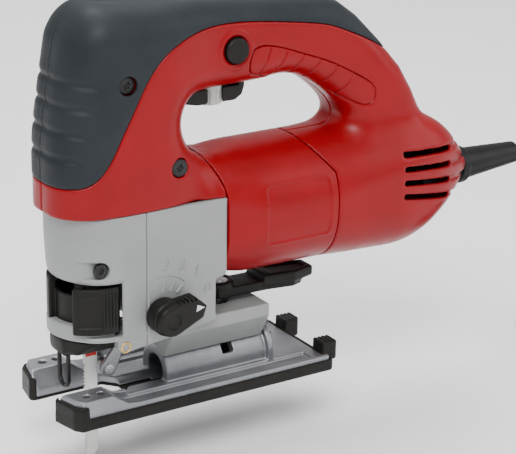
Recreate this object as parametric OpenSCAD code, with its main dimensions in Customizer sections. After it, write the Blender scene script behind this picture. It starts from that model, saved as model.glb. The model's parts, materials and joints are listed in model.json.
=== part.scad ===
// Barrel-handle jigsaw with a top grip, orbital blade support and a bevelling shoe.
// The rear is +X, the blade cuts towards -X, +Z is up.
// The origin is the middle of the sole.

/* [Shoe] */
// Length of the shoe along the cut
shoe_length = 157; // [150:1:162]
// Width of the shoe over its slide cover
shoe_width = 68; // [66:1:70]
// Width of the slot that the blade and its guard pass through
blade_slot_width = 26; // [24:1:28]
// Height of the bevel axis above the sole
bevel_axis_z = 9.5; // [9.5:0.5:10]
// Radius of the half-round rocker that the saw tilts on
rocker_radius = 13.5; // [13:0.5:14]

/* [Blade] */
// Length of the blade over its shank
blade_length = 100; // [80:1:110]
// Width of the blade
blade_width = 8; // [7.5:0.1:8.5]
// Thickness of the blade
blade_thickness = 1.2; // [0.9:0.1:1.4]

/* [Gearcase] */
// Half width of the gearcase
case_half_width = 27; // [27:0.5:28]
// Height where the gearcase meets the upper shell
case_top_z = 108.7; // [108:0.1:110]

/* [Motor] */
// Height of the motor axis above the sole
motor_z = 94; // [93.5:0.5:94.5]
// Outer radius of the motor barrel
barrel_radius = 36; // [36:0.5:37]
// Radius of the armature core
core_radius = 18.5; // [16:0.5:19]

/* [Shell] */
// Wall of the moulded shells
shell_wall = 2.8; // [2.4:0.1:3]
// Thickness of the soft grip layer
grip_thickness = 1.3; // [1:0.1:1.4]
// Half width of the top handle
handle_half_width = 19.5; // [19:0.5:21]

/* [Cord] */
// Diameter of the mains cord
cord_diameter = 7.4; // [7:0.1:8]
// Height of the floor that the cord lies on
floor_z = -35; // [-36:0.5:-35]

/* [Hidden] */
$fn = 48;
big = 400;
tiny = 0.01;

// Running clearance of a shaft in its bore.
run = 0.03;

// Blade and plunger
plunger_x = -53;
blade_back_x = -49.4;
blade_front_x = blade_back_x - blade_width;
blade_tip_z = floor_z;
blade_top_z = blade_tip_z + blade_length;
rod_radius = 5;
stroke_half = 13;

// Gear train: the pinion turns eight times for each turn of the drive gear.
gear_module = 0.7;
pinion_teeth = 8;
gear_teeth = 64;
pressure_angle = 25;
gear_z = motor_z + gear_module * (pinion_teeth + gear_teeth) / 2;
gear_front_x = -42;
gear_back_x = -34;
crank_pin_radius = 3;
// The slot gives the pin room where a constant ratio and the true crank differ.
yoke_slot_half = crank_pin_radius + 2.9;

// Gearcase
seam_x = -34;
case_back_x = 13.6;
case_bottom_z = 42;
nose_center_x = -48.5;
case_wall = 3;

// Motor
barrel_front_x = 14;
barrel_back_x = 79;
core_front_x = 34;
core_back_x = 74;

// Upper shell, seen from the side, counter-clockwise in X and Z.
shell_outline = concat(
    [[-78.5, case_top_z], [case_back_x, case_top_z], [case_back_x, 130.6]],
    [[2, 132.5], [-4, 137], [-7, 145], [-7, 153], [-3.5, 160], [3, 163.3]],
    [[41, 163.3], [54, 165.5], [64, 163.8], [74, 159.5], [87, 150]],
    [[95, 142], [96.5, 136], [92, 131.6], [barrel_back_x, 130.6]],
    [[barrel_back_x, 57.5], [128, 57.5], [146, 62], [163, 71], [177, 80], [184, 90]],
    [[184, 103], [178, 114], [168, 123], [155, 129.5], [147, 135], [140, 147]],
    [[131, 161], [111, 182.5], [96, 197], [84, 202.5], [42, 205.5], [0, 209.5]],
    [[-38, 212], [-54, 210], [-65, 203.5], [-70.5, 194], [-78.2, 150]]
);

// Half of the shell seen from above, from the nose to the cord.
plan_high = [
    [-79, 0], [-79, 10], [-74, 19.5], [-66, 25], [-54, 27.5], [-22, 27.5], [-6, 24],
    [8, handle_half_width + 1], [28, handle_half_width], [96, handle_half_width],
    [118, 22], [150, 22.5], [168, 18], [184, 9], [184, 0]
];
plan_low = [
    [-79, 0], [-79, 10], [-74, 19.5], [-66, 25], [-54, 27.5], [case_back_x, 27.5],
    [case_back_x + 3, 30], [barrel_back_x - 6, 34], [128, 33.5], [152, 29.5],
    [170, 20.5], [184, 9], [184, 0]
];
plan_split_z = 131;

// Soft grip area, seen from the side. It runs past the outline in front and on top.
grip_outline = [
    [-90, 125], [-70, 124.7], [-62.4, 127.7], [-56.8, 133], [-51.7, 140.9], [-47.2, 150],
    [-41.5, 160.3], [-34.2, 174.4], [-25.7, 185.9], [-14.6, 193], [-2, 197], [13.4, 198.4],
    [33.6, 197.3], [62.6, 193.5], [80, 190.5], [93, 185.2], [108, 178.4], [126, 168],
    [140, 182], [100, 220], [-90, 220]
];

// Screws through the upper shell: X and Z.
shell_screw_places = [[-43.9, 175.4], [-13.8, 128.4]];
// Screws of the front cover: X, Y sign and Z.
cover_screw_places = [[-59, -1, 81.3], [-59, 1, 81.3]];

// Lock button in the left half of the handle.
lock_x = 22.1;
lock_z = 183.7;

// Coil of the cord: four rows of turns on the floor. The lead starts the top row, and the rows
// wind in and out in turn, down to the floor and out to the plug.
cord_radius = cord_diameter / 2;
coil_center = [297, -15, floor_z];
coil_turn_radius = 48.3;
turn_gap = cord_diameter + 0.2;
coil_rows = 4;
plug_turn = -40;
coil_turns = 9 + (plug_turn + 90) / 360;
coil_top_z = floor_z + cord_radius + (coil_rows - 1) * turn_gap;
coil_outer_radius = coil_turn_radius + cord_radius + 0.3;
coil_inner_radius = coil_turn_radius - coil_turns / coil_rows * turn_gap - cord_radius;
coil_height = cord_diameter + (coil_rows - 1) * turn_gap;

// Cord: from the protector down to the top row of the coil.
cord_exit = [227, 0, 93.2];
cord_route = [
    cord_exit, [238, 0, 92.8], [248, -1, 89.4], [256, -3, 82.6], [261, -6, 73.5], [263.2, -11.4, 62],
    [262.9, -18.4, 50], [261.7, -26.9, 38], [260.7, -35.6, 26], [261.3, -44.4, 14.5],
    [264.3, -52.6, 4.5], [270.1, -59.2, -2.8], [278.3, -63.2, -7], [288, -63.8, -8.4],
    [coil_center[0], coil_center[1] - coil_turn_radius, coil_top_z]
];

// ---------------------------------------------------------------- helpers

// Moves each side of a counter-clockwise outline inwards by a distance.
function side_normal(a, b) = let (d = b - a) [-d[1], d[0]] / norm(d);
function inset(points, distance) = [
    for (i = [0 : len(points) - 1])
        let (
            before = points[(i + len(points) - 1) % len(points)],
            after = points[(i + 1) % len(points)],
            n1 = side_normal(before, points[i]),
            n2 = side_normal(points[i], after)
        )
        points[i] + distance * (n1 + n2) / (1 + n1 * n2)
];

// A closed plan outline, counter-clockwise, from its upper half.
function mirrored(half) = concat(
    [for (i = [0 : len(half) - 1]) [half[i][0], -half[i][1]]],
    [for (i = [len(half) - 2 : -1 : 1]) half[i]]
);

// Points of an arc in two dimensions.
function arc(center, radius, from, to, steps) = [
    for (i = [0 : steps]) let (a = from + (to - from) * i / steps)
        center + radius * [cos(a), sin(a)]
];

// Cylinders along X, Y and Z, from one end to the other.
module rod_x(from, to, radius, y = 0, z = 0) {
    translate([from, y, z]) rotate([0, 90, 0]) cylinder(h = to - from, r = radius);
}
module rod_y(from, to, radius, x = 0, z = 0) {
    translate([x, to, z]) rotate([90, 0, 0]) cylinder(h = to - from, r = radius);
}
module rod_z(from, to, radius, x = 0, y = 0) {
    translate([x, y, from]) cylinder(h = to - from, r = radius);
}

// A box from one corner to the other.
module box(low, high) {
    translate(low) cube(high - low);
}

// An X and Z outline, extruded along Y.
module side_prism(from, to) {
    translate([0, to, 0]) rotate([90, 0, 0]) linear_extrude(height = to - from) children();
}

// A Y and Z outline, extruded along X.
module cross_prism(from, to) {
    translate([from, 0, 0]) rotate([90, 0, 90]) linear_extrude(height = to - from) children();
}

// An X and Y outline, extruded along Z.
module plan_prism(from, to) {
    translate([0, 0, from]) linear_extrude(height = to - from) children();
}

// A pan-head screw along Y with a hexalobular recess, its head at the side of sign.
module side_screw(x, z, sign, head_y, tip_y, head_radius, shank_radius) {
    scale_sign = sign < 0 ? 0 : 1;
    mirror([0, scale_sign, 0]) difference() {
        union() {
            rod_y(-head_y, -head_y + 3, head_radius, x, z);
            rod_y(-head_y + 3, -tip_y, shank_radius, x, z);
        }
        rod_y(-head_y - 1, -head_y + 1.6, head_radius * 0.45, x, z);
    }
}

// ---------------------------------------------------------------- upper shell

// The full outer form, grown inwards by a distance on every side.
module shell_form(depth) {
    side = inset(shell_outline, depth);
    intersection() {
        side_prism(-60, 60) polygon(side);
        union() {
            plan_prism(0, plan_split_z - depth) polygon(inset(mirrored(plan_low), depth));
            plan_prism(plan_split_z - depth, 300) polygon(inset(mirrored(plan_high), depth));
        }
    }
}

module grip_form(side) {
    difference() {
        intersection() {
            shell_form(0);
            side_prism(-60, 60) polygon(grip_outline);
            half_space(side);
        }
        shell_form(grip_thickness);
        for (place = shell_screw_places) rod_y(-40, 40, 5.2, place[0], place[1]);
    }
}

module half_space(side) {
    low = side < 0 ? -big : 0;
    box([-big, low, -big], [big, low + big, big]);
}

// Room left beside the plunger's rod in the shell's bosses.
rod_relief = 1.2;
// Half width of the opening over the gears, inside the shell's round nose.
case_opening_half = 24.2;

// One clamshell half: its wall, bosses for the screws and ribs for the bearing.
module shell_half(side) {
    difference() {
        union() {
            difference() {
                shell_form(0);
                shell_form(shell_wall);
                intersection() {
                    plan_prism(100, case_top_z + 4) case_plan(case_opening_half);
                    box([-72, -24, 100], [-28, 24, case_top_z + 4]);
                }
                box([-28, -22, 100], [8, 22, case_top_z + 4]);
                box([5, -26, 111.5], [18, 26, 126.5]);
                rod_x(75, 85, 31, 0, motor_z);
            }
            intersection() {
                shell_form(1);
                union() {
                    for (place = shell_screw_places) rod_y(-27, 27, 7.2, place[0], place[1]);
                    bearing_wall();
                    cord_wall();
                }
            }
        }
        difference() {
            intersection() {
                shell_form(-1);
                side_prism(-60, 60) polygon(grip_outline);
            }
            shell_form(grip_thickness);
        }
        for (place = shell_screw_places) {
            rod_y(-40, -22.2, 5.2, place[0], place[1]);
            rod_y(-23, 16, 2.05, place[0], place[1]);
        }
        rod_x(100, 140, 9.55, 0, motor_z);
        rod_y(-40, 0, 6.9, lock_x, lock_z);
        rod_y(-12, 12, 1.6, trigger_pivot[0], trigger_pivot[1]);
        rod_z(100, 173, rod_radius + rod_relief, plunger_x);
        trigger_mouth();
        vents();
        cord_bore();
        half_space(-side);
    }
}

// Wall across the rear shell that holds the rear bearing.
module bearing_wall() {
    box([116, -40, 60], [122, 40, 112]);
}

// Wall at the cord entry.
module cord_wall() {
    box([168, -22, 78], [180, 22, 108]);
}

module cord_bore() {
    rod_x(150, 200, protector_radius + run, 0, protector_z);
    rod_x(182.4, 200, protector_radius + 2 + run, 0, protector_z);
}

// Four slots a side that let cooling air out, sloping down to the rear.
vent_front_x = 122.5;
vent_back_x = 160;
module vents() {
    for (i = [0 : 3]) {
        front = 115.3 - 7.7 * i;
        back = 112.7 - 9.1 * i;
        outline = [
            [vent_front_x, front - 1.6], [vent_back_x, back - 1.6],
            [vent_back_x, back + 1.6], [vent_front_x, front + 1.6]
        ];
        side_prism(-40, -12) polygon(outline);
        side_prism(12, 40) polygon(outline);
    }
}

module trigger_mouth() {
    box([-2.5, -7.5, 158], [36.5, 7.5, 170]);
}

module handle_shell_left() {
    color([0.78, 0.11, 0.13]) shell_half(-1);
}

module handle_shell_right() {
    color([0.78, 0.11, 0.13]) shell_half(1);
}

module grip_left() {
    color([0.24, 0.28, 0.31]) grip_form(-1);
}

module grip_right() {
    color([0.24, 0.28, 0.31]) grip_form(1);
}

module shell_screws() {
    color([0.15, 0.15, 0.16])
        for (place = shell_screw_places)
            side_screw(place[0], place[1], -1, 25.2, -15, 4.6, 2);
}

// ---------------------------------------------------------------- motor

module motor_housing() {
    color([0.78, 0.11, 0.13]) difference() {
        union() {
            rod_x(barrel_front_x, barrel_back_x - 0.1, barrel_radius, 0, motor_z);
            box([barrel_front_x, -25, motor_z - 36.5], [barrel_back_x - 0.1, 25, motor_z]);
        }
        rod_x(barrel_front_x + 3, barrel_back_x + 1, barrel_radius - 3, 0, motor_z);
        rod_x(barrel_front_x - 1, barrel_front_x + 4, 24, 0, motor_z);
        gearcase_screw_places();
    }
}

module stator() {
    color([0.5, 0.5, 0.52]) difference() {
        rod_x(core_front_x, core_back_x, barrel_radius - 3 - run, 0, motor_z);
        rod_x(core_front_x - 1, core_back_x + 1, core_radius + 0.6, 0, motor_z);
        for (side = [-1, 1])
            rod_x(core_front_x - 1, core_back_x + 1, 2.2, 0, motor_z + side * 28.5);
        for (side = [-1, 1])
            box([core_front_x - 1, side * 23 - 3, motor_z - 12],
                [core_back_x + 1, side * 23 + 3, motor_z + 12]);
    }
}

module field_coils() {
    color([0.72, 0.38, 0.2])
        for (side = [-1, 1]) {
            box([core_front_x - 4.5, side * 23 - 2.6, motor_z - 11.6],
                [core_back_x + 4, side * 23 + 2.6, motor_z + 11.6]);
        }
}

module armature_shaft() {
    color([0.75, 0.76, 0.78]) rod_x(gear_back_x + 0.5, 127, 4, 0, motor_z);
}

module armature_core() {
    color([0.42, 0.42, 0.44]) difference() {
        rod_x(core_front_x, core_back_x, core_radius, 0, motor_z);
        rod_x(core_front_x - 1, core_back_x + 1, 4, 0, motor_z);
        for (i = [0 : 11])
            translate([0, 0, motor_z]) rotate([i * 30, 0, 0])
                box([core_front_x - 1, -0.8, core_radius - 5], [core_back_x + 1, 0.8, core_radius + 1]);
    }
}

module armature_windings() {
    color([0.72, 0.38, 0.2])
        for (x = [core_front_x - 5, core_back_x])
            difference() {
                rod_x(x, x + 5, 15.5, 0, motor_z);
                rod_x(x - 1, x + 6, 4, 0, motor_z);
            }
}

module commutator() {
    color([0.76, 0.47, 0.25]) difference() {
        rod_x(84, 98, 12, 0, motor_z);
        rod_x(83, 99, 4, 0, motor_z);
        for (i = [0 : 11])
            translate([0, 0, motor_z]) rotate([i * 30 + 15, 0, 0])
                box([83, -0.3, 11.2], [99, 0.3, 13]);
    }
}

module fan() {
    color([0.16, 0.16, 0.17]) difference() {
        union() {
            rod_x(18, 27, 8, 0, motor_z);
            rod_x(18, 19.5, 29, 0, motor_z);
            for (i = [0 : 10])
                translate([0, 0, motor_z]) rotate([i * 360 / 11, 0, 0])
                    box([19, 7.5, -0.7], [26, 28.5, 0.7]);
        }
        rod_x(17, 28, 4, 0, motor_z);
    }
}

// The brushes sit in brass tubes beside the commutator.
brush_x = 91;
module brush_holders() {
    color([0.75, 0.6, 0.3])
        for (side = [-1, 1])
            difference() {
                box([brush_x - 5, side * 20.5 - 7.5, motor_z - 6.5],
                    [brush_x + 5, side * 20.5 + 7.5, motor_z + 6.5]);
                box([brush_x - 3.25, side * 20.5 - 8, motor_z - 4.05],
                    [brush_x + 3.25, side * 20.5 + 8, motor_z + 4.05]);
            }
}

module brushes() {
    color([0.2, 0.2, 0.2])
        for (side = [-1, 1])
            box([brush_x - 3.2, side * 17 - 4.8, motor_z - 4],
                [brush_x + 3.2, side * 17 + 4.8, motor_z + 4]);
}

module brush_springs() {
    color([0.7, 0.7, 0.72])
        for (side = [-1, 1])
            translate([brush_x, side * 21.8, motor_z]) rotate([side * -90, 0, 0])
                for (i = [0 : 2])
                    translate([0, 0, 0.6 + i * 2.1])
                        rotate_extrude() translate([2.2, 0]) circle(r = 0.5, $fn = 16);
}

module bearing(from, to, outer, inner, z) {
    difference() {
        rod_x(from, to, outer, 0, z);
        rod_x(from - 1, to + 1, inner, 0, z);
        for (x = [from - 1, to - 0.6])
            difference() {
                rod_x(x, x + 1.6, outer - 1.6, 0, z);
                rod_x(x - 1, x + 3, inner + 1.6, 0, z);
            }
    }
}

module front_bearing() {
    color([0.7, 0.71, 0.73]) bearing(-33, -26, 9.5, 4 + run, motor_z);
}

module rear_bearing() {
    color([0.7, 0.71, 0.73]) bearing(116, 122, 9.5, 4 + run, motor_z);
}

// ---------------------------------------------------------------- gear train

// Involute of an angle, in degrees.
function involute(angle) = tan(angle) * 180 / PI - angle;

// Half the angle of a tooth at a radius, thinned on each flank.
function tooth_half(teeth, radius, thin) =
    let (pitch = gear_module * teeth / 2, base = pitch * cos(pressure_angle))
    90 / teeth - thin / pitch * 180 / PI + involute(pressure_angle)
        - involute(acos(min(1, base / radius)));

// A gear outline with its first tooth on the first axis, turned by a share of a tooth.
function gear_points(teeth, tip, root, thin, steps, shift) =
    let (
        pitch = gear_module * teeth / 2,
        low = max(pitch * cos(pressure_angle), pitch - root),
        flank = [
            if (pitch - root < low - tiny) [pitch - root, tooth_half(teeth, low, thin)],
            for (k = [0 : steps])
                let (radius = low + (pitch + tip - low) * k / steps)
                [radius, tooth_half(teeth, radius, thin)]
        ],
        last = len(flank) - 1
    )
    [
        for (i = [0 : teeth - 1])
            for (k = [0 : 2 * last + 1])
                let (
                    rising = k <= last,
                    point = rising ? flank[k] : flank[2 * last + 1 - k],
                    angle = (i + shift) * 360 / teeth + (rising ? -1 : 1) * point[1]
                )
                point[0] * [cos(angle), sin(angle)]
    ];

module pinion() {
    color([0.62, 0.63, 0.66])
        translate([0, 0, motor_z])
            cross_prism(gear_front_x, gear_back_x + 0.5)
                polygon(gear_points(pinion_teeth, 0.56, 0.56, 0.06, 3, 0));
}

module drive_gear() {
    color([0.62, 0.63, 0.66]) translate([0, 0, gear_z]) difference() {
        union() {
            cross_prism(gear_front_x + 1, gear_back_x)
                polygon(gear_points(gear_teeth, 0.35, 0.75, 0.06, 1, 0.5));
            rod_x(gear_front_x, gear_back_x, 8);
            rod_x(gear_front_x, gear_back_x, crank_pin_radius + 2.5, stroke_half, 0);
        }
        rod_x(gear_front_x - 1, gear_back_x + 1, 4 + run);
        rod_x(gear_front_x - 1, gear_back_x + 1, crank_pin_radius, stroke_half, 0);
    }
}

module crank_pin() {
    color([0.8, 0.81, 0.83])
        rod_x(-47.6, gear_back_x, crank_pin_radius, stroke_half, gear_z);
}

// Half-ring behind the crank that balances the plunger.
module counterweight() {
    color([0.5, 0.51, 0.53]) translate([0, 0, gear_z]) intersection() {
        difference() {
            rod_x(gear_front_x - 1.2, gear_front_x + 1, 20);
            rod_x(gear_front_x - 2, gear_front_x + 2, 10);
        }
        box([-100, -30, -30], [0, -6, 30]);
    }
}

module gear_pin() {
    color([0.8, 0.81, 0.83]) rod_x(gear_front_x + 0.2, -24, 4, 0, gear_z);
}

// ---------------------------------------------------------------- plunger

module plunger_rod() {
    color([0.8, 0.81, 0.83]) rod_z(65.5, 157, rod_radius, plunger_x);
}

module yoke() {
    color([0.6, 0.61, 0.64]) difference() {
        box([plunger_x - 6.5, -20.5, gear_z - 9], [-43.6, 20.5, gear_z + 9]);
        rod_z(0, 200, rod_radius, plunger_x);
        box([-47.7, -stroke_half - crank_pin_radius - 1, gear_z - yoke_slot_half],
            [-40, stroke_half + crank_pin_radius + 1, gear_z + yoke_slot_half]);
        box([-70, 8, gear_z - 20], [-48.5, 30, gear_z + 20]);
        box([-70, -30, gear_z - 20], [-48.5, -8, gear_z + 20]);
    }
}

// Swinging frame that carries both bushes of the plunger.
carrier_pivot_z = 150;
module plunger_carrier() {
    color([0.55, 0.56, 0.58]) difference() {
        union() {
            box([-63, -12, 144], [-43, 12, 156]);
            box([-63, -11, 84], [-44, 11, 96]);
            box([-66, -9, 84], [-62, 9, 156]);
        }
        rod_z(70, 170, 7.5, plunger_x);
        rod_y(-20, 20, 2.5 + run, plunger_x, carrier_pivot_z);
    }
}

module bush(from, to) {
    difference() {
        rod_z(from, to, 7.5, plunger_x);
        rod_z(from - 1, to + 1, rod_radius + run, plunger_x);
    }
}

module plunger_bushes() {
    color([0.72, 0.52, 0.3]) {
        bush(144, 156);
        bush(84, 96);
    }
}

module carrier_pins() {
    color([0.8, 0.81, 0.83])
        for (side = [-1, 1])
            rod_y(side * 13.6 - 5, side * 13.6 + 5, 2.5, plunger_x, carrier_pivot_z);
}

// Clamp that takes the blade's shank.
module clamp_body() {
    color([0.3, 0.3, 0.31]) difference() {
        rod_z(48, 70, 7, plunger_x);
        rod_z(65.5, 72, rod_radius, plunger_x);
        box([-70, -blade_thickness / 2 - 0.1, 40], [-48, blade_thickness / 2 + 0.1, 65.5]);
        difference() {
            rod_z(50, 64, 8, plunger_x);
            rod_z(49, 65, 6, plunger_x);
        }
    }
}

module clamp_collar() {
    color([0.55, 0.55, 0.57]) difference() {
        rod_z(50.3, 63.7, 8, plunger_x);
        rod_z(49, 65, 6.02, plunger_x);
    }
}

// Blade with a straight shank, a tang notch and teeth on its front edge.
module blade() {
    tooth = 2;
    tooth_count = 26;
    teeth_from = blade_tip_z + 5;
    color([0.92, 0.92, 0.9]) side_prism(-blade_thickness / 2, blade_thickness / 2)
        polygon(concat(
            [[blade_back_x, blade_tip_z + 6], [blade_back_x, 46], [blade_back_x - 1, 47.5]],
            [[blade_back_x - 1, blade_top_z - 1], [blade_back_x - 2, blade_top_z]],
            [[blade_front_x + 2, blade_top_z], [blade_front_x + 1, blade_top_z - 1]],
            [[blade_front_x + 1, 47.5], [blade_front_x, 46]],
            [for (i = [tooth_count - 1 : -1 : 0])
                each [[blade_front_x + 0.1, teeth_from + tooth * (i + 1)],
                      [blade_front_x + 1.2, teeth_from + tooth * i + 0.4]]],
            [[blade_front_x + 1, blade_tip_z + 2], [blade_front_x + 2.4, blade_tip_z]]
        ));
}

// ---------------------------------------------------------------- orbit support

roller_x = -45.75;
roller_z = 18.4;
fork_pivot = [-38, 42];

module roller_fork() {
    color([0.45, 0.46, 0.48]) difference() {
        union() {
            for (side = [-1, 1])
                side_prism(side * 5.3 - 1.3, side * 5.3 + 1.3)
                    polygon(concat(
                        arc([roller_x, roller_z], 4.7, 130, 330, 8),
                        [[-36, 30], [-35, 42]],
                        arc(fork_pivot, 3.6, 20, 180, 6),
                        [[-42.6, 30]]
                    ));
            box([-41, -5.3, 28], [-36.6, 5.3, 34]);
        }
        rod_y(-10, 10, 1.5, roller_x, roller_z);
        rod_y(-10, 10, 1.8 + run, fork_pivot[0], fork_pivot[1]);
    }
}

module roller_rivet() {
    color([0.75, 0.76, 0.78]) {
        rod_y(-6.6, 6.6, 1.5, roller_x, roller_z);
        for (side = [-1, 1])
            rod_y(side * 7 - 0.4, side * 7 + 0.4, 2.6, roller_x, roller_z);
    }
}

module guide_roller() {
    color([0.7, 0.71, 0.73]) translate([roller_x, 0, roller_z]) rotate([90, 0, 0])
        rotate_extrude()
            polygon([
                [1.5 + run, -3.8], [4.4, -3.8], [4.9, -1.6], [3.4, -1], [3.4, 1], [4.9, 1.6],
                [4.4, 3.8], [1.5 + run, 3.8]
            ]);
}

module fork_pin() {
    color([0.75, 0.76, 0.78]) rod_y(-14, 14, 1.8, fork_pivot[0], fork_pivot[1]);
}

// Orbit selector: a pointer knob on a cross shaft.
selector = [-25.8, 52.6];
module selector_knob() {
    tip = [-6, 57.5];
    color([0.12, 0.12, 0.12]) difference() {
        union() {
            rod_y(-36, -27.4, 9.4, selector[0], selector[1]);
            side_prism(-40.5, -30)
                polygon(concat(
                    arc(selector, 8.6, 100, 300, 8),
                    [[-8, 51.5], tip, [-12, 63]]
                ));
        }
        rod_y(-38, -20, 4, selector[0], selector[1]);
    }
}

module selector_shaft() {
    color([0.6, 0.61, 0.63]) rod_y(-38, -16, 4, selector[0], selector[1]);
}

// ---------------------------------------------------------------- gearcase

// Gearcase and nose seen from above.
module case_plan(half_width) {
    polygon(concat(
        [[case_back_x, -half_width], [case_back_x, half_width]],
        arc([nose_center_x, 0], half_width, 90, 270, 18)
    ));
}

// Half-round foot that sits on the shoe's rocker.
saddle_front_x = -15.5;
saddle_back_x = 46;
module saddle() {
    cross_prism(saddle_front_x, saddle_back_x)
        polygon([[-16, 28.5], [-11, 20], [11, 20], [16, 28.5], [19, 34], [19, 40], [-19, 40], [-19, 34]]);
}

module gear_housing() {
    color([0.66, 0.68, 0.67]) difference() {
        union() {
            intersection() {
                plan_prism(case_bottom_z, case_top_z) case_plan(case_half_width);
                side_prism(-40, 40)
                    polygon([
                        [seam_x, 42], [7, 42], [7, 65.5], [case_back_x, 67], [case_back_x, 120],
                        [seam_x, 120]
                    ]);
            }
            saddle();
            box([-15.5, -19, 38], [12, 19, 44]);
            box([-33.4, -20, 100], [-27, 20, 158]);
            for (side = [-1, 1])
                box([-58, side * 15.5 - 2.5, 144.5], [-28, side * 15.5 + 2.5, 157]);
        }
        box([seam_x - 1, -24, 45], [-33.4, 24, case_top_z + 1]);
        box([-26, -24, 56], [4, 24, case_top_z + 1]);
        rod_x(3, 20, 23.5, 0, motor_z);
        rod_x(-34, 0, 4.5, 0, motor_z);
        rod_x(-33, 0, 9.5 + run, 0, motor_z);
        rod_x(-40, -20, 4, 0, gear_z);
        rod_y(-20, 20, 2.5, plunger_x, carrier_pivot_z);
        rod_x(saddle_front_x - 1, saddle_back_x + 1, rocker_radius + 0.4, 0, bevel_axis_z);
        rod_y(-40, 0, 4 + run, selector[0], selector[1]);
        rod_z(10, 50, 3 + run, clamp_x);
        rod_z(34, 41, 6.2, clamp_x);
        box([-40, -12, 41], [-30, 12, 50]);
        rod_y(-20, 20, 1.8, fork_pivot[0], fork_pivot[1]);
        gearcase_screw_places();
    }
}

module gearcase_screw_places() {
    for (y = [-20, 20])
        for (z = [74, 102])
            rod_x(barrel_front_x - 8, barrel_front_x + 3, 1.5, y, z);
}

module gearcase_screws() {
    color([0.2, 0.2, 0.21]) gearcase_screw_places();
}

// Front half of the gearcase with the window of the blade lever.
lever_window_z = [45.5, 72.5];
module front_cover() {
    color([0.66, 0.68, 0.67]) difference() {
        intersection() {
            plan_prism(case_bottom_z, case_top_z) case_plan(case_half_width);
            box([-100, -40, 0], [seam_x - 0.05, 40, 200]);
        }
        difference() {
            translate([0, 0, 44.5])
                plan_prism(0, 100) case_plan(case_half_width - case_wall);
            difference() {
                box([-100, -40, 73], [0, 40, 77]);
                rod_z(70, 80, 16, plunger_x);
            }
            for (place = cover_screw_places)
                rod_y(place[1] * 20 - 6, place[1] * 20 + 6, 5, place[0], place[2]);
        }
        rod_z(40, 50, 12, plunger_x);
        box([-53, -12, 40], [-30, 12, 50]);
        difference() {
            rod_z(lever_window_z[0], lever_window_z[1], 40, plunger_x);
            rod_z(0, 200, 12, plunger_x);
            box([-48.4, -50, 0], [0, 50, 200]);
            box([-100, 20, 0], [0, 50, 200]);
        }
        for (place = cover_screw_places) {
            rod_y(place[1] * 31 - 9, place[1] * 31 + 9, 4.2, place[0], place[2]);
            rod_y(place[1] * 22 - 6, place[1] * 22 + 6, 1.8, place[0], place[2]);
        }
        rod_y(-20, 20, 1.8, fork_pivot[0], fork_pivot[1]);
    }
}

module cover_screws() {
    color([0.2, 0.2, 0.21])
        for (place = cover_screw_places)
            side_screw(place[0], place[2], place[1], 25, 18, 3.8, 1.8);
}

// Black guard under the nose, with a low middle ahead of the blade.
module nose_guard() {
    color([0.13, 0.13, 0.13]) difference() {
        union() {
            difference() {
                translate([0, 0, 38.5])
                    plan_prism(0, case_bottom_z - 38.5) case_plan(case_half_width - 2);
                box([seam_x - 6, -50, 0], [100, 50, 100]);
            }
            box([-72, -7.8, 31], [-62.5, 7.8, 40]);
        }
        rod_z(0, 60, 9.4, plunger_x - 1);
        box([-53, -9.4, 30], [-30, 9.4, 50]);
        for (side = [-1, 1]) rod_z(0, 60, guard_wire_radius, guard_x, side * guard_half_width);
    }
}

// Bent wire that keeps fingers off the blade.
guard_x = -68.5;
guard_half_width = 5;
guard_wire_radius = 1.2;
module wire_guard() {
    bend_z = 12 + guard_half_width;
    color([0.16, 0.16, 0.17]) {
        for (side = [-1, 1]) rod_z(bend_z, 40, guard_wire_radius, guard_x, side * guard_half_width);
        translate([guard_x, 0, bend_z]) rotate([90, 180, 90])
            rotate_extrude(angle = 180) translate([guard_half_width, 0])
                circle(r = guard_wire_radius, $fn = 24);
    }
}

// Ribbed lever that opens the blade clamp.
module blade_lever() {
    color([0.14, 0.14, 0.14]) translate([plunger_x, 0, 0]) {
        difference() {
            rod_z(46.5, 71.5, 25.4);
            rod_z(40, 80, 22.8);
            lever_sector_cut();
        }
        difference() {
            rod_z(66.5, 71.5, 14);
            rod_z(60, 80, 10.2);
        }
        rotate([0, 0, 250]) box([12, -3, 66.5], [23.5, 3, 71.5]);
    }
}

// Everything outside the lever's arc, which runs from 222 to 279 degrees.
module lever_sector_cut() {
    rotate([0, 0, 222]) box([-60, -60, 0], [60, 0, 100]);
    rotate([0, 0, 279]) box([-60, 0, 0], [60, 60, 100]);
}

// ---------------------------------------------------------------- handle parts

trigger_pivot = [0.5, 164.5];
module trigger() {
    color([0.17, 0.17, 0.18]) difference() {
        side_prism(-7, 7)
            polygon([
                [-2, 158.8], [1, 154.6], [8, 153.2], [30, 153.2], [34.5, 156], [36, 160.5],
                [36, 168], [-2, 168]
            ]);
        rod_y(-10, 10, 1.6 + run, trigger_pivot[0], trigger_pivot[1]);
        rod_z(150, 164.4, 7.8, dial_x);
        rod_z(160, 166.5, 1.6 + run, dial_x);
        box([5, -8, 161.5], [32, 8, 164.4]);
    }
}

dial_x = 17.7;
module speed_dial() {
    color([0.75, 0.75, 0.73]) difference() {
        union() {
            rod_z(152.4, 163.6, 7.2, dial_x);
            rod_z(163, 166.2, 1.6, dial_x);
        }
        for (i = [0 : 11])
            translate([dial_x, 0, 0]) rotate([0, 0, i * 30])
                rod_z(150, 160.5, 1, 7.5);
    }
}

module lock_button() {
    color([0.12, 0.12, 0.12]) {
        rod_y(-22.4, -16, 6.75, lock_x, lock_z);
        rod_y(-16, -9.5, 4, lock_x, lock_z);
    }
}

module switch_body() {
    color([0.3, 0.3, 0.32]) difference() {
        box([-6, -9, 172.5], [44, 9, 196]);
        rod_y(-20, 0, 4.8, lock_x, lock_z);
        rod_y(-20, -6, 8, lock_x, lock_z);
    }
}

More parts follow.
